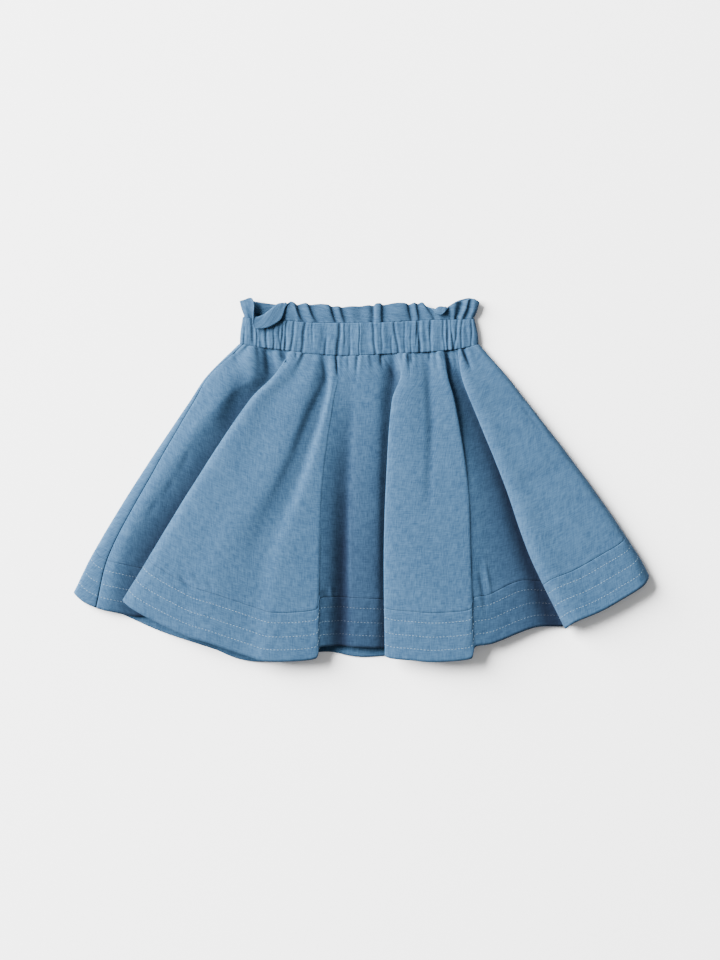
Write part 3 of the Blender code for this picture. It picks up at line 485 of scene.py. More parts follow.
def weave_group():
    """Chambray: blue yarns down the cloth and pale ones across it, with slubs and a soft mottle.

    It reads a position on the cloth in metres, a fold height and a painted shade, and puts out a colour and a
    height for a bump.
    """
    group = bpy.data.node_groups.new("chambray weave", "ShaderNodeTree")
    inputs = (
        ("Cloth", "Vector"), ("Fold", "Float"), ("Painted shade", "Float"), ("Blue", "Color"), ("Pale", "Color"),
    )
    for name, kind in inputs:
        group.interface.new_socket(name, in_out="INPUT", socket_type="NodeSocket" + kind)
    for name, kind in (("Colour", "Color"), ("Height", "Float")):
        group.interface.new_socket(name, in_out="OUTPUT", socket_type="NodeSocket" + kind)
    nodes, links = group.nodes, group.links
    inlet, outlet = nodes.new("NodeGroupInput"), nodes.new("NodeGroupOutput")

    def slubs(scale, detail):
        """Noise with scales across and down the cloth, drawn out in the direction scaled least."""
        mapping, noise = nodes.new("ShaderNodeMapping"), nodes.new("ShaderNodeTexNoise")
        mapping.inputs["Scale"].default_value = scale
        noise.inputs["Scale"].default_value = 1.0
        noise.inputs["Detail"].default_value = detail
        links.new(inlet.outputs["Cloth"], mapping.inputs["Vector"])
        links.new(mapping.outputs["Vector"], noise.inputs["Vector"])
        return noise.outputs["Fac"]

    def joined(kind, first, second):
        """Two values put together by a Math node."""
        node = nodes.new("ShaderNodeMath")
        node.operation = kind
        for socket, value in zip(node.inputs, (first, second)):
            if isinstance(value, (int, float)):
                socket.default_value = value
            else:
                links.new(value, socket)
        return node.outputs["Value"]

    across_yarns = slubs((120.0, 1100.0, 1.0), 2.0)
    down_yarns = slubs((950.0, 110.0, 1.0), 2.0)
    fine_down = slubs((2600.0, 260.0, 1.0), 1.0)
    mottle = slubs((160.0, 150.0, 1.0), 3.0)
    patches = slubs((28.0, 22.0, 1.0), 2.0)
    weights = ((across_yarns, 1.8), (down_yarns, -1.8), (fine_down, 0.8), (mottle, 1.0), (patches, 0.5))
    # fold height over the smooth form: ridges paler as rubbed wear, creases darker as painted shade
    mix = joined("MULTIPLY", inlet.outputs["Fold"], 0.12)
    for noise, weight in weights:
        mix = joined("ADD", mix, joined("MULTIPLY", joined("SUBTRACT", noise, 0.5), weight))
    share = joined("ADD", mix, 0.5)
    share.node.use_clamp = True
    colour = nodes.new("ShaderNodeMix")
    colour.data_type = "RGBA"
    links.new(share, colour.inputs["Factor"])
    links.new(inlet.outputs["Blue"], colour.inputs["A"])
    links.new(inlet.outputs["Pale"], colour.inputs["B"])
    # painted shade: the recess value multiplies the colour towards the tint of full shade
    painted_shade_mix = nodes.new("ShaderNodeMix")
    painted_shade_mix.data_type, painted_shade_mix.blend_type = "RGBA", "MULTIPLY"
    painted_shade_mix.inputs["B"].default_value = (*PAINTED_SHADE_TINT, 1.0)
    links.new(inlet.outputs["Painted shade"], painted_shade_mix.inputs["Factor"])
    links.new(colour.outputs["Result"], painted_shade_mix.inputs["A"])
    links.new(painted_shade_mix.outputs["Result"], outlet.inputs["Colour"])

    yarn_waves = []
    for direction in ("X", "Y"):
        wave = nodes.new("ShaderNodeTexWave")
        wave.wave_type, wave.bands_direction = "BANDS", direction
        wave.inputs["Scale"].default_value = YARN_BANDS
        wave.inputs["Distortion"].default_value = 1.2
        wave.inputs["Detail Scale"].default_value = 2.0
        links.new(inlet.outputs["Cloth"], wave.inputs["Vector"])
        yarn_waves.append(wave.outputs["Fac"])
    weave = joined("MULTIPLY", yarn_waves[0], yarn_waves[1])
    height = joined("ADD", joined("MULTIPLY", weave, 0.5), joined("MULTIPLY", across_yarns, 0.9))
    links.new(joined("ADD", height, joined("MULTIPLY", down_yarns, 0.8)), outlet.inputs["Height"])
    return group


def chambray(name, blue, pale, roughness, sheen):
    """Chambray, with the weave laid on the cloth map that each piece carries, and the painted shade that its
    recess attribute gives.
    """
    material = bpy.data.materials.new(name)
    material.use_nodes = True
    nodes, links = material.node_tree.nodes, material.node_tree.links
    shader = nodes["Principled BSDF"]
    # the recess attribute is painted shade, multiplied into the weave's colour
    cloth, fold, recess = (nodes.new("ShaderNode" + kind) for kind in ("UVMap", "Attribute", "Attribute"))
    cloth.uv_map, fold.attribute_name, recess.attribute_name = "cloth", "fold", "recess"
    weave, bump = nodes.new("ShaderNodeGroup"), nodes.new("ShaderNodeBump")
    weave.node_tree = WEAVE
    weave.inputs["Blue"].default_value = (*blue, 1.0)
    weave.inputs["Pale"].default_value = (*pale, 1.0)
    bump.inputs["Strength"].default_value = 0.35
    bump.inputs["Distance"].default_value = WEAVE_HEIGHT
    links.new(cloth.outputs["UV"], weave.inputs["Cloth"])
    links.new(fold.outputs["Fac"], weave.inputs["Fold"])
    links.new(recess.outputs["Fac"], weave.inputs["Painted shade"])
    links.new(weave.outputs["Colour"], shader.inputs["Base Color"])
    links.new(weave.outputs["Height"], bump.inputs["Height"])
    links.new(bump.outputs["Normal"], shader.inputs["Normal"])
    shader.inputs["Roughness"].default_value = roughness
    shader.inputs["Specular IOR Level"].default_value = 0.08
    shader.inputs["Sheen Weight"].default_value = sheen
    shader.inputs["Sheen Roughness"].default_value = 0.5
    return material


WEAVE = weave_group()
CLOTH_MATERIAL = chambray("chambray", BLUE_YARN, PALE_YARN, roughness=0.92, sheen=0.025)


def cloth_piece(name, outer, inner, cloth, fold, recess, inside=0.0):
    """A closed shell between two grids of points in millimetres, with a rim round its four edges.

    The cloth map gives each point's place on the flat cloth in metres, and fold its height over the
    smooth form. The recess values are the painted shade of the outer grid, and inside is the painted shade of
    the inner grid.
    """
    columns, rows = outer.shape[:2]
    index = np.arange(columns * rows).reshape(columns, rows)
    below = columns * rows
    corners = (index[:-1, :-1], index[:-1, 1:], index[1:, 1:], index[1:, :-1])
    front = np.stack([corner.ravel() for corner in corners], axis=1)
    edge = np.concatenate([index[0, :], index[1:, -1], index[-1, -2::-1], index[-2:0:-1, 0]])
    ahead = np.roll(edge, -1)
    rim = np.stack([ahead, edge, edge + below, ahead + below], axis=1)
    quads = np.concatenate([front, front[:, ::-1] + below, rim])
    mesh = bpy.data.meshes.new(name)
    mesh.vertices.add(2 * below)
    mesh.loops.add(quads.size)
    mesh.polygons.add(len(quads))
    points = np.concatenate([outer.reshape(-1, 3), inner.reshape(-1, 3)]) * MM
    mesh.vertices.foreach_set("co", points.ravel())
    mesh.loops.foreach_set("vertex_index", quads.ravel())
    mesh.polygons.foreach_set("loop_start", np.arange(0, quads.size, 4))
    mesh.polygons.foreach_set("use_smooth", np.arange(len(quads)) < 2 * len(front))
    mesh.update(calc_edges=True)
    flat = np.tile(cloth.reshape(-1, 2), (2, 1))[quads.ravel()]
    mesh.uv_layers.new(name="cloth").data.foreach_set("uv", flat.ravel())
    heights = np.concatenate([fold.ravel(), -fold.ravel()])
    mesh.attributes.new("fold", "FLOAT", "POINT").data.foreach_set("value", heights)
    painted_shade_values = np.concatenate([recess.ravel(), np.full(below, inside)])
    mesh.attributes.new("recess", "FLOAT", "POINT").data.foreach_set("value", painted_shade_values)
    mesh.materials.append(CLOTH_MATERIAL)
    piece = bpy.data.objects.new(name, mesh)
    bpy.context.scene.collection.objects.link(piece)
    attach(piece, "root")
    return piece


def tube_piece(name, columns, rows, thickness):
    """One piece of the skirt's tube: its columns and rows, parted from its neighbours by a hair."""
    points, slope = ring[columns, rows].copy(), normals[columns, rows]
    for edge, inward in ((0, 1), (-1, -2)):
        step = points[inward] - points[edge]
        points[edge] += step * SEAM_GAP / 2 / np.linalg.norm(step, axis=1, keepdims=True)
    outer = points + slope * WALL_HALF
    run = round_cloth[columns, rows]
    middle = run[run.shape[0] // 2][None, :]
    cloth = np.stack([run - middle, -np.broadcast_to(down_cloth[columns, rows], run.shape)], axis=2) * MM
    inner = outer - slope * thickness
    return cloth_piece(name, outer, inner, cloth, fold_height[columns, rows], recess[columns, rows])


front_part, back_part = slice(0, parting + 1), slice(parting, None)
panel_part, band_part = slice(0, PANEL_ROWS), slice(PANEL_ROWS, None)
front_skirt = tube_piece("front_panel", front_part, panel_part, PANEL_THICKNESS)
back_skirt = tube_piece("back_panel", back_part, panel_part, PANEL_THICKNESS)
front_band = tube_piece("front_hem", front_part, band_part, BAND_THICKNESS)
back_band = tube_piece("back_hem", back_part, band_part, BAND_THICKNESS)
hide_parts("front_skirt")
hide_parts("back_skirt")
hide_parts("front_hem_band")
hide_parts("back_hem_band")


# The hem's stitches
# Three rows of pale topstitching hold the turned-up hem, about half an inch apart. Each stitch is a
# short bent thread that dives into the cloth at both ends.
STITCH_LENGTH = 2.3
STITCH_PITCH = 3.4
THREAD_WIDTH, THREAD_RISE = 0.3, 0.16
THREAD_SUNK = 0.35                  # share of its rise by which a stitch's ends lie in the cloth
STITCH_SECTIONS, THREAD_SIDES = 5, 6
THREAD_COLOUR = (0.17, 0.27, 0.36)
THREAD_DARK = 0.72                  # share of its colour in the twist's hollows
THREAD_PAINTED_SHADE = (0.03, 0.05, 0.08)  # what is left of its colour in full painted shade


def thread_material(name, colour):
    """Cotton thread: one colour with a fine twist over it, and the painted shade of the cloth under it."""
    material = bpy.data.materials.new(name)
    material.use_nodes = True
    nodes, links = material.node_tree.nodes, material.node_tree.links
    shader = nodes["Principled BSDF"]
    place, twist = nodes.new("ShaderNodeTexCoord"), nodes.new("ShaderNodeTexNoise")
    tint = nodes.new("ShaderNodeMix")
    tint.data_type = "RGBA"
    twist.inputs["Scale"].default_value = 700.0
    tint.inputs["A"].default_value = (*(part * THREAD_DARK for part in colour), 1.0)
    tint.inputs["B"].default_value = (*colour, 1.0)
    links.new(place.outputs["Object"], twist.inputs["Vector"])
    links.new(twist.outputs["Fac"], tint.inputs["Factor"])
    # painted shade: the cloth's recess value under each stitch darkens its colour
    recess, painted_shade_mix = nodes.new("ShaderNodeAttribute"), nodes.new("ShaderNodeMix")
    recess.attribute_name = "recess"
    painted_shade_mix.data_type, painted_shade_mix.blend_type = "RGBA", "MULTIPLY"
    painted_shade_mix.inputs["B"].default_value = (*THREAD_PAINTED_SHADE, 1.0)
    links.new(recess.outputs["Fac"], painted_shade_mix.inputs["Factor"])
    links.new(tint.outputs["Result"], painted_shade_mix.inputs["A"])
    links.new(painted_shade_mix.outputs["Result"], shader.inputs["Base Color"])
    shader.inputs["Roughness"].default_value = 0.7
    shader.inputs["Sheen Weight"].default_value = 0.2
    return material


def stitches(name, lines, slopes, shades):
    """Rows of stitches on lines of points with their normals and painted shades, joined in one mesh.

    A stitch's middle line follows the cloth, and its height over it is a half sine. Its section is
    a flat hexagon whose size is the root of a half sine, so that it narrows at both ends.
    """
    sections = np.linspace(0.0, 1.0, STITCH_SECTIONS)
    step = 0.2      # how far ahead of a point its line's direction is read

    def read(line, run, at):
        """A line's points at lengths along it."""
        return np.stack([np.interp(at, run, part) for part in line.T], axis=1)

    starts, ways, outs, painted_shade_values = [], [], [], []
    for line, slope, shade in zip(lines, slopes, shades):
        run = np.concatenate([[0.0], np.cumsum(np.linalg.norm(np.diff(line, axis=0), axis=1))])
        first = np.arange(STITCH_PITCH / 2, run[-1] - STITCH_LENGTH, STITCH_PITCH)
        at = (first[:, None] + sections * STITCH_LENGTH).ravel()
        starts.append(read(line, run, at))
        ways.append(read(line, run, at + step) - starts[-1])
        outs.append(read(slope, run, at))
        painted_shade_values.append(read(shade, run, at)[:, 0])
    spot, way, out = (np.concatenate(part).reshape(-1, len(sections), 1, 3) for part in (starts, ways, outs))
    way /= np.maximum(np.linalg.norm(way, axis=3, keepdims=True), 1e-9)
    aside = np.cross(out, way)
    swell = np.sqrt(np.sin(np.pi * np.clip(sections, 0.02, 0.98)))[:, None, None]
    lift = ((np.sin(np.pi * sections) - THREAD_SUNK) * THREAD_RISE)[:, None, None]
    turn = np.linspace(0.0, 2 * np.pi, THREAD_SIDES, endpoint=False)[:, None]
    section = (aside * np.cos(turn) * THREAD_WIDTH + out * np.sin(turn) * THREAD_RISE) / 2
    points = spot + out * lift + section * swell
    index = np.arange(STITCH_SECTIONS * THREAD_SIDES).reshape(STITCH_SECTIONS, THREAD_SIDES)
    after = np.roll(index, -1, axis=1)
    sides = np.stack([index[:-1], index[1:], after[1:], after[:-1]], axis=2).reshape(-1, 4)
    offset = (np.arange(len(points)) * index.size)[:, None, None]
    faces = (sides + offset).reshape(-1, 4).tolist()
    faces += (index[0] + offset[:, 0]).tolist() + (index[-1, ::-1] + offset[:, 0]).tolist()
    mesh = bpy.data.meshes.new(name)
    mesh.from_pydata((points.reshape(-1, 3) * MM).tolist(), [], faces)
    mesh.polygons.foreach_set("use_smooth", np.ones(len(mesh.polygons), bool))
    painted_shade_values = np.repeat(np.concatenate(painted_shade_values), THREAD_SIDES)
    mesh.attributes.new("recess", "FLOAT", "POINT").data.foreach_set("value", painted_shade_values)
    mesh.materials.append(PALE_THREAD)
    piece = bpy.data.objects.new(name, mesh)
    bpy.context.scene.collection.objects.link(piece)
    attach(piece, "root")
    return piece


def lines_on_tube(columns, rows_below):
    """Lines round part of the tube at lengths below the band seam, with their normals and painted shades."""
    stops = (whole - HEM_BAND)[columns] + np.array(rows_below)
    surface = ring[columns] + normals[columns] * WALL_HALF
    grids = (surface, normals[columns], recess[columns][:, :, None])
    return [np.transpose(at_rows(grid, down_cloth[columns], stops), (1, 0, 2)) for grid in grids]


PALE_THREAD = thread_material("pale thread", THREAD_COLOUR)
front_stitches = stitches("front_hem_stitches", *lines_on_tube(front_part, STITCH_ROWS))
back_stitches = stitches("back_hem_stitches", *lines_on_tube(back_part, STITCH_ROWS))


# The casing
# A band of chambray, doubled over wide elastic, that draws the panels in at the waist. The front and
# the back casing meet along the sides, and their cloth is gathered into uneven pleats and puffs.
CASING_MIDDLE = 3.4             # height at which the front casing meets the back casing
CASING_FRONT = 6.1              # height of the front casing's face, between its pleats
CASING_WALL = 2.2
CASING_PARTING = 0.1            # each side stays this far from the meeting height
CASING_TURN = 4.0               # length over which each end rounds down to it
CASING_SWELL, CASING_SINK = 0.45, 0.25      # how far the face swells, from this far below its height
CASING_PUFFS = ((0.45, 6.5, 3.0), (0.22, 2.7, -5.0))    # rise, spacing and slant of its uneven puffs
PUFF_LEAST = 0.35               # share of the puffs' rise that is left at the casing's seams
MAP_START = 50.0                # how far down its cloth map starts
CASING_ENDS = [
    # share of the way from its top to its foot, left, right
    (0.0, -117.2, 114.4),
    (0.6, -119.6, 117.8),
    (1.0, -120.2, 118.4),
]
FRONT_PLEATS = [
    # top, foot, half width, depth, from, to (shares of the way down)
    (-115.2, -115.6, 0.8, 0.6, 0.0, 1.0),
    (-107.2, -106.0, 1.7, 1.5, 0.0, 0.9),
    (-103.4, -102.6, 0.8, 0.8, 0.2, 1.0),
    (-94.0, -92.8, 1.1, 1.1, 0.0, 1.0),
    (-85.5, -86.0, 0.8, 0.8, 0.0, 1.0),
    (-80.0, -80.4, 0.8, 0.7, 0.0, 0.8),
    (-76.6, -78.4, 0.9, 1.1, 0.1, 1.0),
    (-73.0, -75.0, 0.9, 1.1, 0.0, 1.0),
    (-65.0, -68.6, 1.1, 1.1, 0.0, 1.0),
    (-54.3, -58.0, 1.2, 1.1, 0.0, 1.0),
    (-47.0, -47.6, 0.8, 0.6, 0.0, 0.7),
    (-33.0, -34.4, 1.0, 0.9, 0.45, 1.0),
    (-19.5, -22.1, 1.5, 1.6, 0.0, 1.0),
    (-15.0, -15.4, 0.8, 0.6, 0.0, 0.7),
    (-9.6, -10.0, 0.9, 0.7, 0.1, 1.0),
    (-0.5, -0.5, 0.5, 0.7, 0.0, 1.0),
    (13.0, 15.8, 1.1, 1.2, 0.0, 1.0),
    (21.6, 22.2, 0.8, 0.6, 0.0, 0.9),
    (31.0, 32.0, 0.8, 0.6, 0.5, 1.0),
    (34.0, 38.8, 1.1, 1.1, 0.0, 1.0),
    (44.5, 45.0, 0.8, 0.6, 0.0, 1.0),
    (51.2, 51.0, 0.8, 0.6, 0.2, 1.0),
    (56.8, 56.6, 0.7, 0.7, 0.0, 0.8),
    (58.6, 60.0, 1.3, 1.5, 0.0, 1.0),
    (70.4, 70.6, 1.0, 0.9, 0.0, 1.0),
    (83.0, 84.7, 0.9, 0.9, 0.0, 1.0),
    (87.6, 88.0, 1.2, 1.4, 0.0, 1.0),
    (90.5, 93.3, 1.0, 1.0, 0.0, 1.0),
    (98.0, 94.3, 0.9, 0.9, 0.0, 1.0),
    (102.0, 101.0, 0.8, 0.7, 0.0, 1.0),
    (111.5, 111.5, 0.9, 0.7, 0.0, 1.0),
]
BACK_PLEATS = [(place, place * 1.01, 1.2, 0.9, 0.0, 1.0) for place in np.linspace(-108.0, 106.0, 23)]
PLEAT_FADE = 0.18                           # share of the way down over which a pleat starts or ends
PLEAT_SWAY, PLEAT_TURNS = 0.35, 7.0         # a pleat's sway to the sides, and its speed down the casing
TROUGH_DEPTH, TROUGH_WIDTH = 0.62, 1.2      # a pleat's trough, over the table's depth and half width
LIP_RISE, LIP_WIDTH, LIP_AT = 0.22, 1.6, 2.4    # the same for the low lips on both sides of it
PLEAT_DEEPEST = 1.9
PLEAT_FULL, PLEAT_PAINTED_DARKEST = 4.0, 0.4        # depth of a pleat for a full painted shade, and the most that it gets
CASING_COLUMNS, CASING_ROWS = 721, 26


def casing(name, pleats, face, inside, seed):
    """One side of the casing: a flattened half tube whose face is drawn into pleats.

    Its height over the meeting line is a quarter circle at each end, and each pleat takes a bell
    out of the face, between two low lips. The cloth between the pleats swells a little, unevenly.
    """
    turn = np.linspace(-1.0, 1.0, CASING_COLUMNS)[:, None]
    share = np.linspace(0.0, 1.0, CASING_ROWS)[None, :]
    shares, lefts, rights = zip(*CASING_ENDS)
    left, right = smooth_lines(shares, lefts, share), smooth_lines(shares, rights, share)
    across = (left + right) / 2 + (right - left) / 2 * np.sin(turn * np.pi / 2)
    top = waist_line(FRILL_FOOT, across) + SEAM_GAP / 2
    foot = waist_line(WAIST_SEAM, across) - SEAM_GAP / 2
    down = top + (foot - top) * share
    from_end = np.clip(np.minimum(across - left, right - across) / CASING_TURN, 0.0, 1.0)
    rise = np.sqrt(1.0 - (1.0 - from_end) ** 2)
    arch = np.sin(np.pi * share)
    relief = np.zeros_like(across)
    for number, (height, spacing, slant) in enumerate(CASING_PUFFS):
        relief += height * uneven(across + slant * share, spacing, seed + number)
    relief *= PUFF_LEAST + (1.0 - PUFF_LEAST) * arch ** 0.6
    relief += CASING_SWELL * arch ** 0.5 - CASING_SINK
    for top_at, foot_at, half_width, depth, start, end in pleats:
        middle = top_at + (foot_at - top_at) * share + PLEAT_SWAY * np.sin(share * PLEAT_TURNS + top_at)
        reach = np.clip((share - start) / PLEAT_FADE + 0.5 + (start == 0.0), 0.0, 1.0)
        reach = reach * np.clip((end - share) / PLEAT_FADE + 0.5 + (end == 1.0), 0.0, 1.0)
        relief -= TROUGH_DEPTH * depth * reach * bell(across - middle, TROUGH_WIDTH * half_width)
        for lip_at in (LIP_AT * half_width, -LIP_AT * half_width):
            relief += LIP_RISE * depth * reach * bell(across - middle - lip_at, LIP_WIDTH * half_width)
    relief = np.maximum(relief, -PLEAT_DEEPEST)
    side = np.sign(face - CASING_MIDDLE)
    if side < 0:
        relief = np.minimum(relief, 0.0)
    meeting = CASING_MIDDLE + side * CASING_PARTING
    height = meeting + (face - meeting + side * relief) * rise
    under = meeting + (inside - meeting) * rise
    inset = CASING_WALL * (1.0 - rise) * -np.sign(turn)
    outer = on_table(np.stack([across, down, height], axis=2))
    inner = on_table(np.stack([across + inset, down, under], axis=2))
    cloth = np.stack([lengths(outer, 0), down - MAP_START], axis=2) * MM
    if side < 0:
        outer, inner, cloth, relief = outer[::-1], inner[::-1], cloth[::-1], relief[::-1]
    # painted shade in the pleats' troughs
    shade = np.clip(-relief / PLEAT_FULL, 0.0, PLEAT_PAINTED_DARKEST)
    return cloth_piece(name, outer, inner, cloth, relief, shade)


front_casing = casing("front_casing", FRONT_PLEATS, CASING_FRONT, CASING_FRONT - CASING_WALL, seed=21)
back_casing = casing("back_casing", BACK_PLEATS, 0.0, CASING_WALL, seed=31)
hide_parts("front_waistband")
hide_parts("back_waistband")


# The frill
# The casing's cloth stands on above the elastic as a short frill, doubled at its top edge. It falls
# into uneven pleats, and at the left and near the right end it flops forward over the casing.
FRILL_HALF = 0.5
FRILL_THICKNESS = 0.75
FRILL_ROOT = 1.2                # length over which the frill stands in line with the casing
FRONT_FRILL = [
    # foot, foot_height, bend, bend_down, bend_height, tip, tip_down, tip_height
    (-116.8, 3.2, -119.2, 9.0, 3.7, -121.2, 1.6, 4.0),
    (-113.2, 5.0, -114.4, 8.0, 6.0, -114.8, -0.4, 6.0),
    (-110.0, 5.2, -109.4, 7.0, 7.2, -108.8, -2.1, 6.6),
    (-107.2, 5.2, -105.8, 9.5, 9.0, -106.2, 2.4, 9.6),
    (-104.4, 4.6, -104.8, 18.8, 8.2, -106.2, 28.4, 9.8),
    (-98.0, 4.4, -98.0, 16.2, 8.0, -99.4, 29.0, 9.6),
    (-91.0, 4.4, -91.0, 11.0, 8.0, -91.5, 28.0, 9.6),
    (-84.0, 4.4, -83.5, 4.8, 7.4, -84.2, 24.2, 8.8),
    (-78.4, 4.8, -78.0, 2.4, 6.8, -79.2, 20.6, 8.2),
    (-73.8, 5.2, -74.2, 1.9, 6.4, -76.0, 12.4, 7.4),
    (-69.4, 5.6, -71.0, 3.4, 6.4, -73.2, 5.2, 7.0),
    (-64.6, 5.4, -66.4, 9.0, 6.4, -69.4, 1.8, 6.8),
    (-60.4, 5.5, -63.0, 13.0, 6.5, -65.8, 2.8, 6.9),
    (-57.0, 4.0, -60.0, 14.0, 4.1, -62.8, 5.2, 4.3),
    (-52.5, 4.7, -55.5, 13.0, 5.1, -58.0, 3.8, 5.3),
    (-46.4, 5.5, -49.8, 14.0, 6.4, -53.6, 3.2, 6.6),
    (-43.4, 4.0, -46.6, 15.0, 4.1, -50.6, 5.0, 4.5),
    (-36.0, 4.8, -38.5, 14.0, 5.4, -41.0, 4.2, 5.6),
    (-27.0, 5.5, -29.4, 14.0, 6.5, -31.6, 4.9, 6.9),
    (-23.9, 3.9, -26.2, 15.0, 4.1, -28.4, 7.0, 4.3),
    (-17.6, 5.4, -19.8, 15.0, 6.3, -21.9, 6.3, 6.6),
    (-14.0, 4.0, -16.2, 15.0, 4.1, -18.4, 7.6, 4.3),
    (-7.0, 4.9, -8.0, 15.0, 5.5, -9.5, 6.4, 5.9),
    (1.0, 4.5, 0.6, 14.0, 4.9, 0.4, 6.6, 5.2),
    (9.0, 5.0, 9.0, 14.0, 5.7, 9.0, 5.3, 6.1),
    (14.0, 4.1, 13.8, 14.0, 4.3, 13.6, 6.0, 4.5),
    (16.4, 5.7, 16.2, 14.0, 6.4, 16.0, 3.8, 6.6),
    (20.6, 5.7, 20.4, 14.0, 6.4, 20.4, 3.4, 6.6),
    (23.2, 4.0, 23.0, 14.0, 4.2, 22.8, 5.2, 4.5),
    (36.0, 5.4, 35.0, 13.0, 6.1, 34.6, 3.2, 6.3),
    (48.6, 5.4, 47.0, 13.0, 6.2, 45.6, 3.4, 6.5),
    (51.6, 4.0, 50.2, 13.0, 4.1, 48.6, 5.0, 4.4),
    (57.2, 5.4, 55.8, 12.0, 6.2, 54.2, 2.8, 6.5),
    (60.0, 4.1, 58.8, 12.0, 4.3, 57.4, 4.2, 4.5),
    (71.4, 5.3, 67.0, 12.0, 6.2, 62.0, 2.4, 6.8),
    (74.4, 4.3, 70.4, 12.0, 4.7, 66.0, 6.6, 5.2),
    (76.4, 4.6, 73.6, 9.0, 5.8, 71.0, 9.0, 7.0),
    (79.6, 5.0, 77.4, 7.2, 6.8, 76.4, 14.2, 8.8),
    (83.0, 5.0, 81.6, 6.6, 7.0, 81.2, 15.4, 9.0),
    (86.6, 4.8, 85.6, 7.0, 6.8, 85.0, 12.0, 8.6),
    (88.6, 4.8, 88.0, 9.5, 6.0, 87.4, 8.0, 7.0),
    (90.2, 4.5, 89.6, 12.6, 5.2, 88.8, 6.4, 6.0),
    (93.4, 5.8, 94.2, 10.0, 7.0, 95.4, 2.3, 7.4),
    (96.4, 3.8, 99.4, 11.0, 4.0, 102.4, 1.2, 4.4),
    (101.2, 5.8, 105.0, 10.0, 7.0, 107.6, 0.0, 7.4),
    (105.6, 4.0, 108.0, 12.0, 4.6, 110.8, -1.2, 6.0),
    (110.4, 5.6, 113.4, 10.0, 6.6, 114.8, -0.6, 6.8),
    (114.2, 3.4, 117.4, 10.5, 4.4, 119.6, 3.0, 4.6),
]
FOOT, FOOT_HEIGHT, BEND, BEND_DOWN, BEND_HEIGHT, TIP, TIP_DOWN, TIP_HEIGHT = range(8)   # its columns
BACK_FRILL_TIPS = [
    # across, tip_down
    (-118, 0.8),
    (-112, -0.8),
    (-105, 1.6),
    (-85, 4.4),
    (-76, 5.8),
    (-60, 7.4),
    (-20, 9.4),
    (20, 8.0),
    (60, 8.2),
    (86, 7.9),
    (97, 1.0),
    (112, -2.1),
    (118, 2.0),
]
BACK_FRILL_WAVES, BACK_FRILL_RISE, BACK_FRILL_HEIGHT = 15, 0.5, 1.6
FRONT_FRILL_STEPS, BACK_FRILL_STEPS = 10, 6
FRILL_ROWS = 22
FOLD_STEPS = (8, 20, 20)        # points of a fold on the way to its root, its bend and its tip
FRILL_ROUNDING, FRILL_SMOOTHING = 6, 30
CRIMP_RISE, CRIMP_SPACING, CRIMP_REACH = 0.3, 2.4, 9.0          # small gathers above the frill's foot
RIPPLE_RISE, RIPPLE_SPACING, RIPPLE_SLANT = 0.12, 5.0, 0.5
FRILL_LIFT_OFF = 0.4            # height over the table at which the frill's cloth has its full relief
FRILL_FULL, FRILL_PAINTED_DARKEST = 4.0, 0.35       # depth of a fold for a full painted shade, and the most that it gets


def frill_ring():
    """The frill as one closed ring of folds, in millimetres, each an evenly read curve.

    A fold runs from its foot, a little way straight up, over its bend to its tip. The back's folds
    are even shallow waves between the two ends.
    """
    first, last = np.array(FRONT_FRILL[0]), np.array(FRONT_FRILL[-1])
    number = np.arange(1, 2 * BACK_FRILL_WAVES)
    back = last + (first - last) * (number / (2 * BACK_FRILL_WAVES))[:, None]
    tips = np.array(BACK_FRILL_TIPS)
    back[:, TIP_DOWN] = smooth_lines(tips[:, 0], tips[:, 1], back[:, TIP])[0]
    back[:, BEND_DOWN] = (waist_line(FRILL_FOOT, back[:, FOOT]) + back[:, TIP_DOWN]) / 2
    back[:, BEND] = (back[:, FOOT] + back[:, TIP]) / 2
    wave = np.where(number % 2, 1.0, -1.0)
    for column in (FOOT_HEIGHT, BEND_HEIGHT, TIP_HEIGHT):
        back[:, column] = BACK_FRILL_HEIGHT + BACK_FRILL_RISE * wave
    rows = np.concatenate([FRONT_FRILL, back, [first]])
    foot, foot_height, bend, bend_down, bend_height, tip, tip_down, tip_height = rows.T
    foot_down = waist_line(FRILL_FOOT, foot) - SEAM_GAP / 2
    root = foot_down - FRILL_ROOT
    stops = np.stack([
        np.stack([foot, foot_down, foot_height], axis=1),
        np.stack([foot, root, foot_height], axis=1),
        np.stack([bend, np.minimum(bend_down, root - FRILL_ROOT), bend_height], axis=1),
        np.stack([tip, tip_down, tip_height], axis=1),
    ])
    folds = np.transpose(curve_through(stops, FOLD_STEPS), (1, 0, 2))
    along = lengths(folds, 1)
    folds = at_rows(folds, along, along[:, -1:] * np.linspace(0.0, 1.0, FRILL_ROWS))
    front = len(FRONT_FRILL) - 1
    steps = [FRONT_FRILL_STEPS] * front + [BACK_FRILL_STEPS] * (len(rows) - 1 - front)
    frill = softened(curve_through(folds, steps), FRILL_ROUNDING)
    frill[:, :, 2] = np.maximum(frill[:, :, 2], FRILL_HALF)
    return frill, front * FRONT_FRILL_STEPS


frill, frill_parting = frill_ring()
frill = on_table(frill)
frill_smooth = softened(frill, FRILL_SMOOTHING)
frill_slopes = slopes_out(frill)
frill_run, frill_down = lengths(frill, 0), lengths(frill, 1)
frill_relief = CRIMP_RISE * uneven(frill_run, CRIMP_SPACING, seed=41) * np.exp(-frill_down / CRIMP_REACH)
frill_relief += RIPPLE_RISE * uneven(frill_run + frill_down * RIPPLE_SLANT, RIPPLE_SPACING, seed=43)
frill_relief *= np.clip((frill[:, :, 2] - FRILL_HALF) / FRILL_LIFT_OFF, 0.0, 1.0)
frill = frill + frill_slopes * frill_relief[:, :, None]
frill_slopes = slopes_out(frill)
frill_fold = ((frill - frill_smooth) * frill_slopes).sum(axis=2)


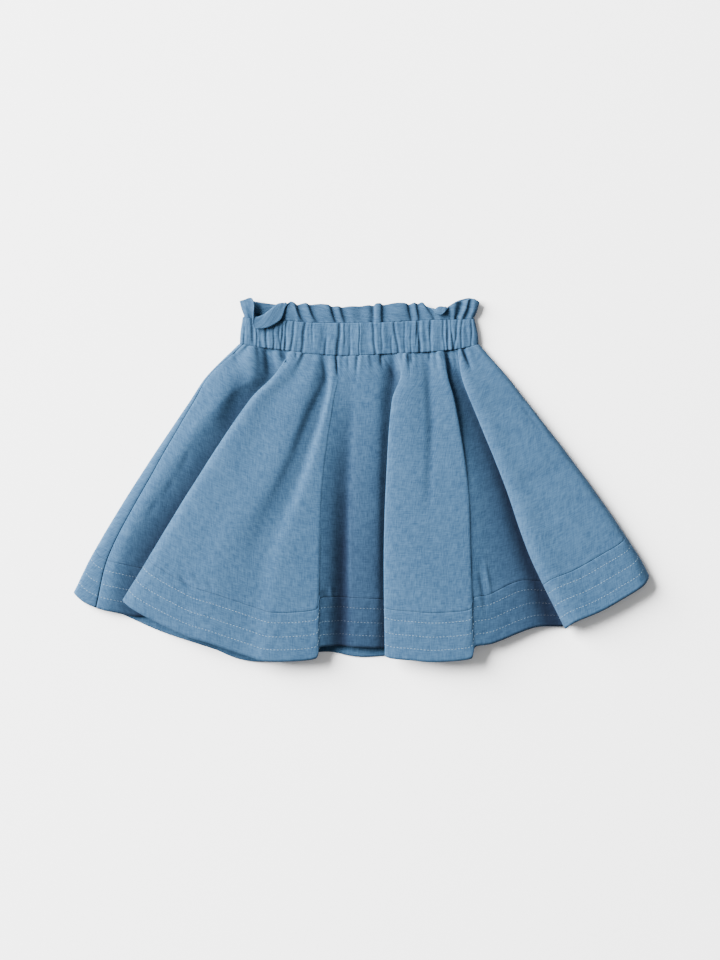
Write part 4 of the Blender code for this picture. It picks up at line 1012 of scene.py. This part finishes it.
def frill_piece(name, columns, inside):
    """The front or the back of the frill, with painted shade in its folds and on its inside."""
    outer = frill[columns] + frill_slopes[columns] * FRILL_HALF
    cloth = np.stack([frill_run[columns], frill_down[columns]], axis=2) * MM
    inner = outer - frill_slopes[columns] * FRILL_THICKNESS
    shade = np.clip(-frill_fold[columns] / FRILL_FULL, 0.0, FRILL_PAINTED_DARKEST)
    return cloth_piece(name, outer, inner, cloth, frill_fold[columns], shade, inside)


# inside: painted shade on the frill's inner face, more at the back
front_frill = frill_piece("front_frill_cloth", slice(0, frill_parting + 1), inside=0.1)
back_frill = frill_piece("back_frill_cloth", slice(frill_parting, None), inside=0.22)
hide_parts("front_frill")
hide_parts("back_frill")


# The floor and the light
# The skirt lies on a plain white table. A broad soft light comes from the upper left, and white
# surroundings fill in the shadows.
FLOOR_SIZE, FLOOR_HEIGHT = 6.0, -0.0003     # the table lies just under the lowest stitches
KEY_PLACE = (-6.35, 3.38, 3.51)
KEY_SIZE, KEY_POWER = 5.6, 7850.0
ROOM_STRENGTH = 0.44
half = FLOOR_SIZE / 2
corners = [(x * half, y * half, FLOOR_HEIGHT) for x, y in ((-1, -1), (1, -1), (1, 1), (-1, 1))]
floor_mesh = bpy.data.meshes.new("floor")
floor_mesh.from_pydata(corners, [], [(0, 1, 2, 3)])
floor = bpy.data.objects.new("floor", floor_mesh)
bpy.context.scene.collection.objects.link(floor)
white = bpy.data.materials.new("white table")
white.use_nodes = True
white.node_tree.nodes["Principled BSDF"].inputs["Base Color"].default_value = (0.95, 0.95, 0.95, 1.0)
white.node_tree.nodes["Principled BSDF"].inputs["Roughness"].default_value = 0.9
floor_mesh.materials.append(white)

key_light = bpy.data.lights.new("key light", "AREA")
key_light.size, key_light.energy = KEY_SIZE, KEY_POWER
key = bpy.data.objects.new("key light", key_light)
key.location = KEY_PLACE
key.rotation_euler = (-Vector(KEY_PLACE)).to_track_quat("-Z", "Y").to_euler()
bpy.context.scene.collection.objects.link(key)
world = bpy.data.worlds.new("white room")
world.use_nodes = True
world.node_tree.nodes["Background"].inputs["Color"].default_value = (1.0, 1.0, 1.0, 1.0)
world.node_tree.nodes["Background"].inputs["Strength"].default_value = ROOM_STRENGTH
bpy.context.scene.world = world
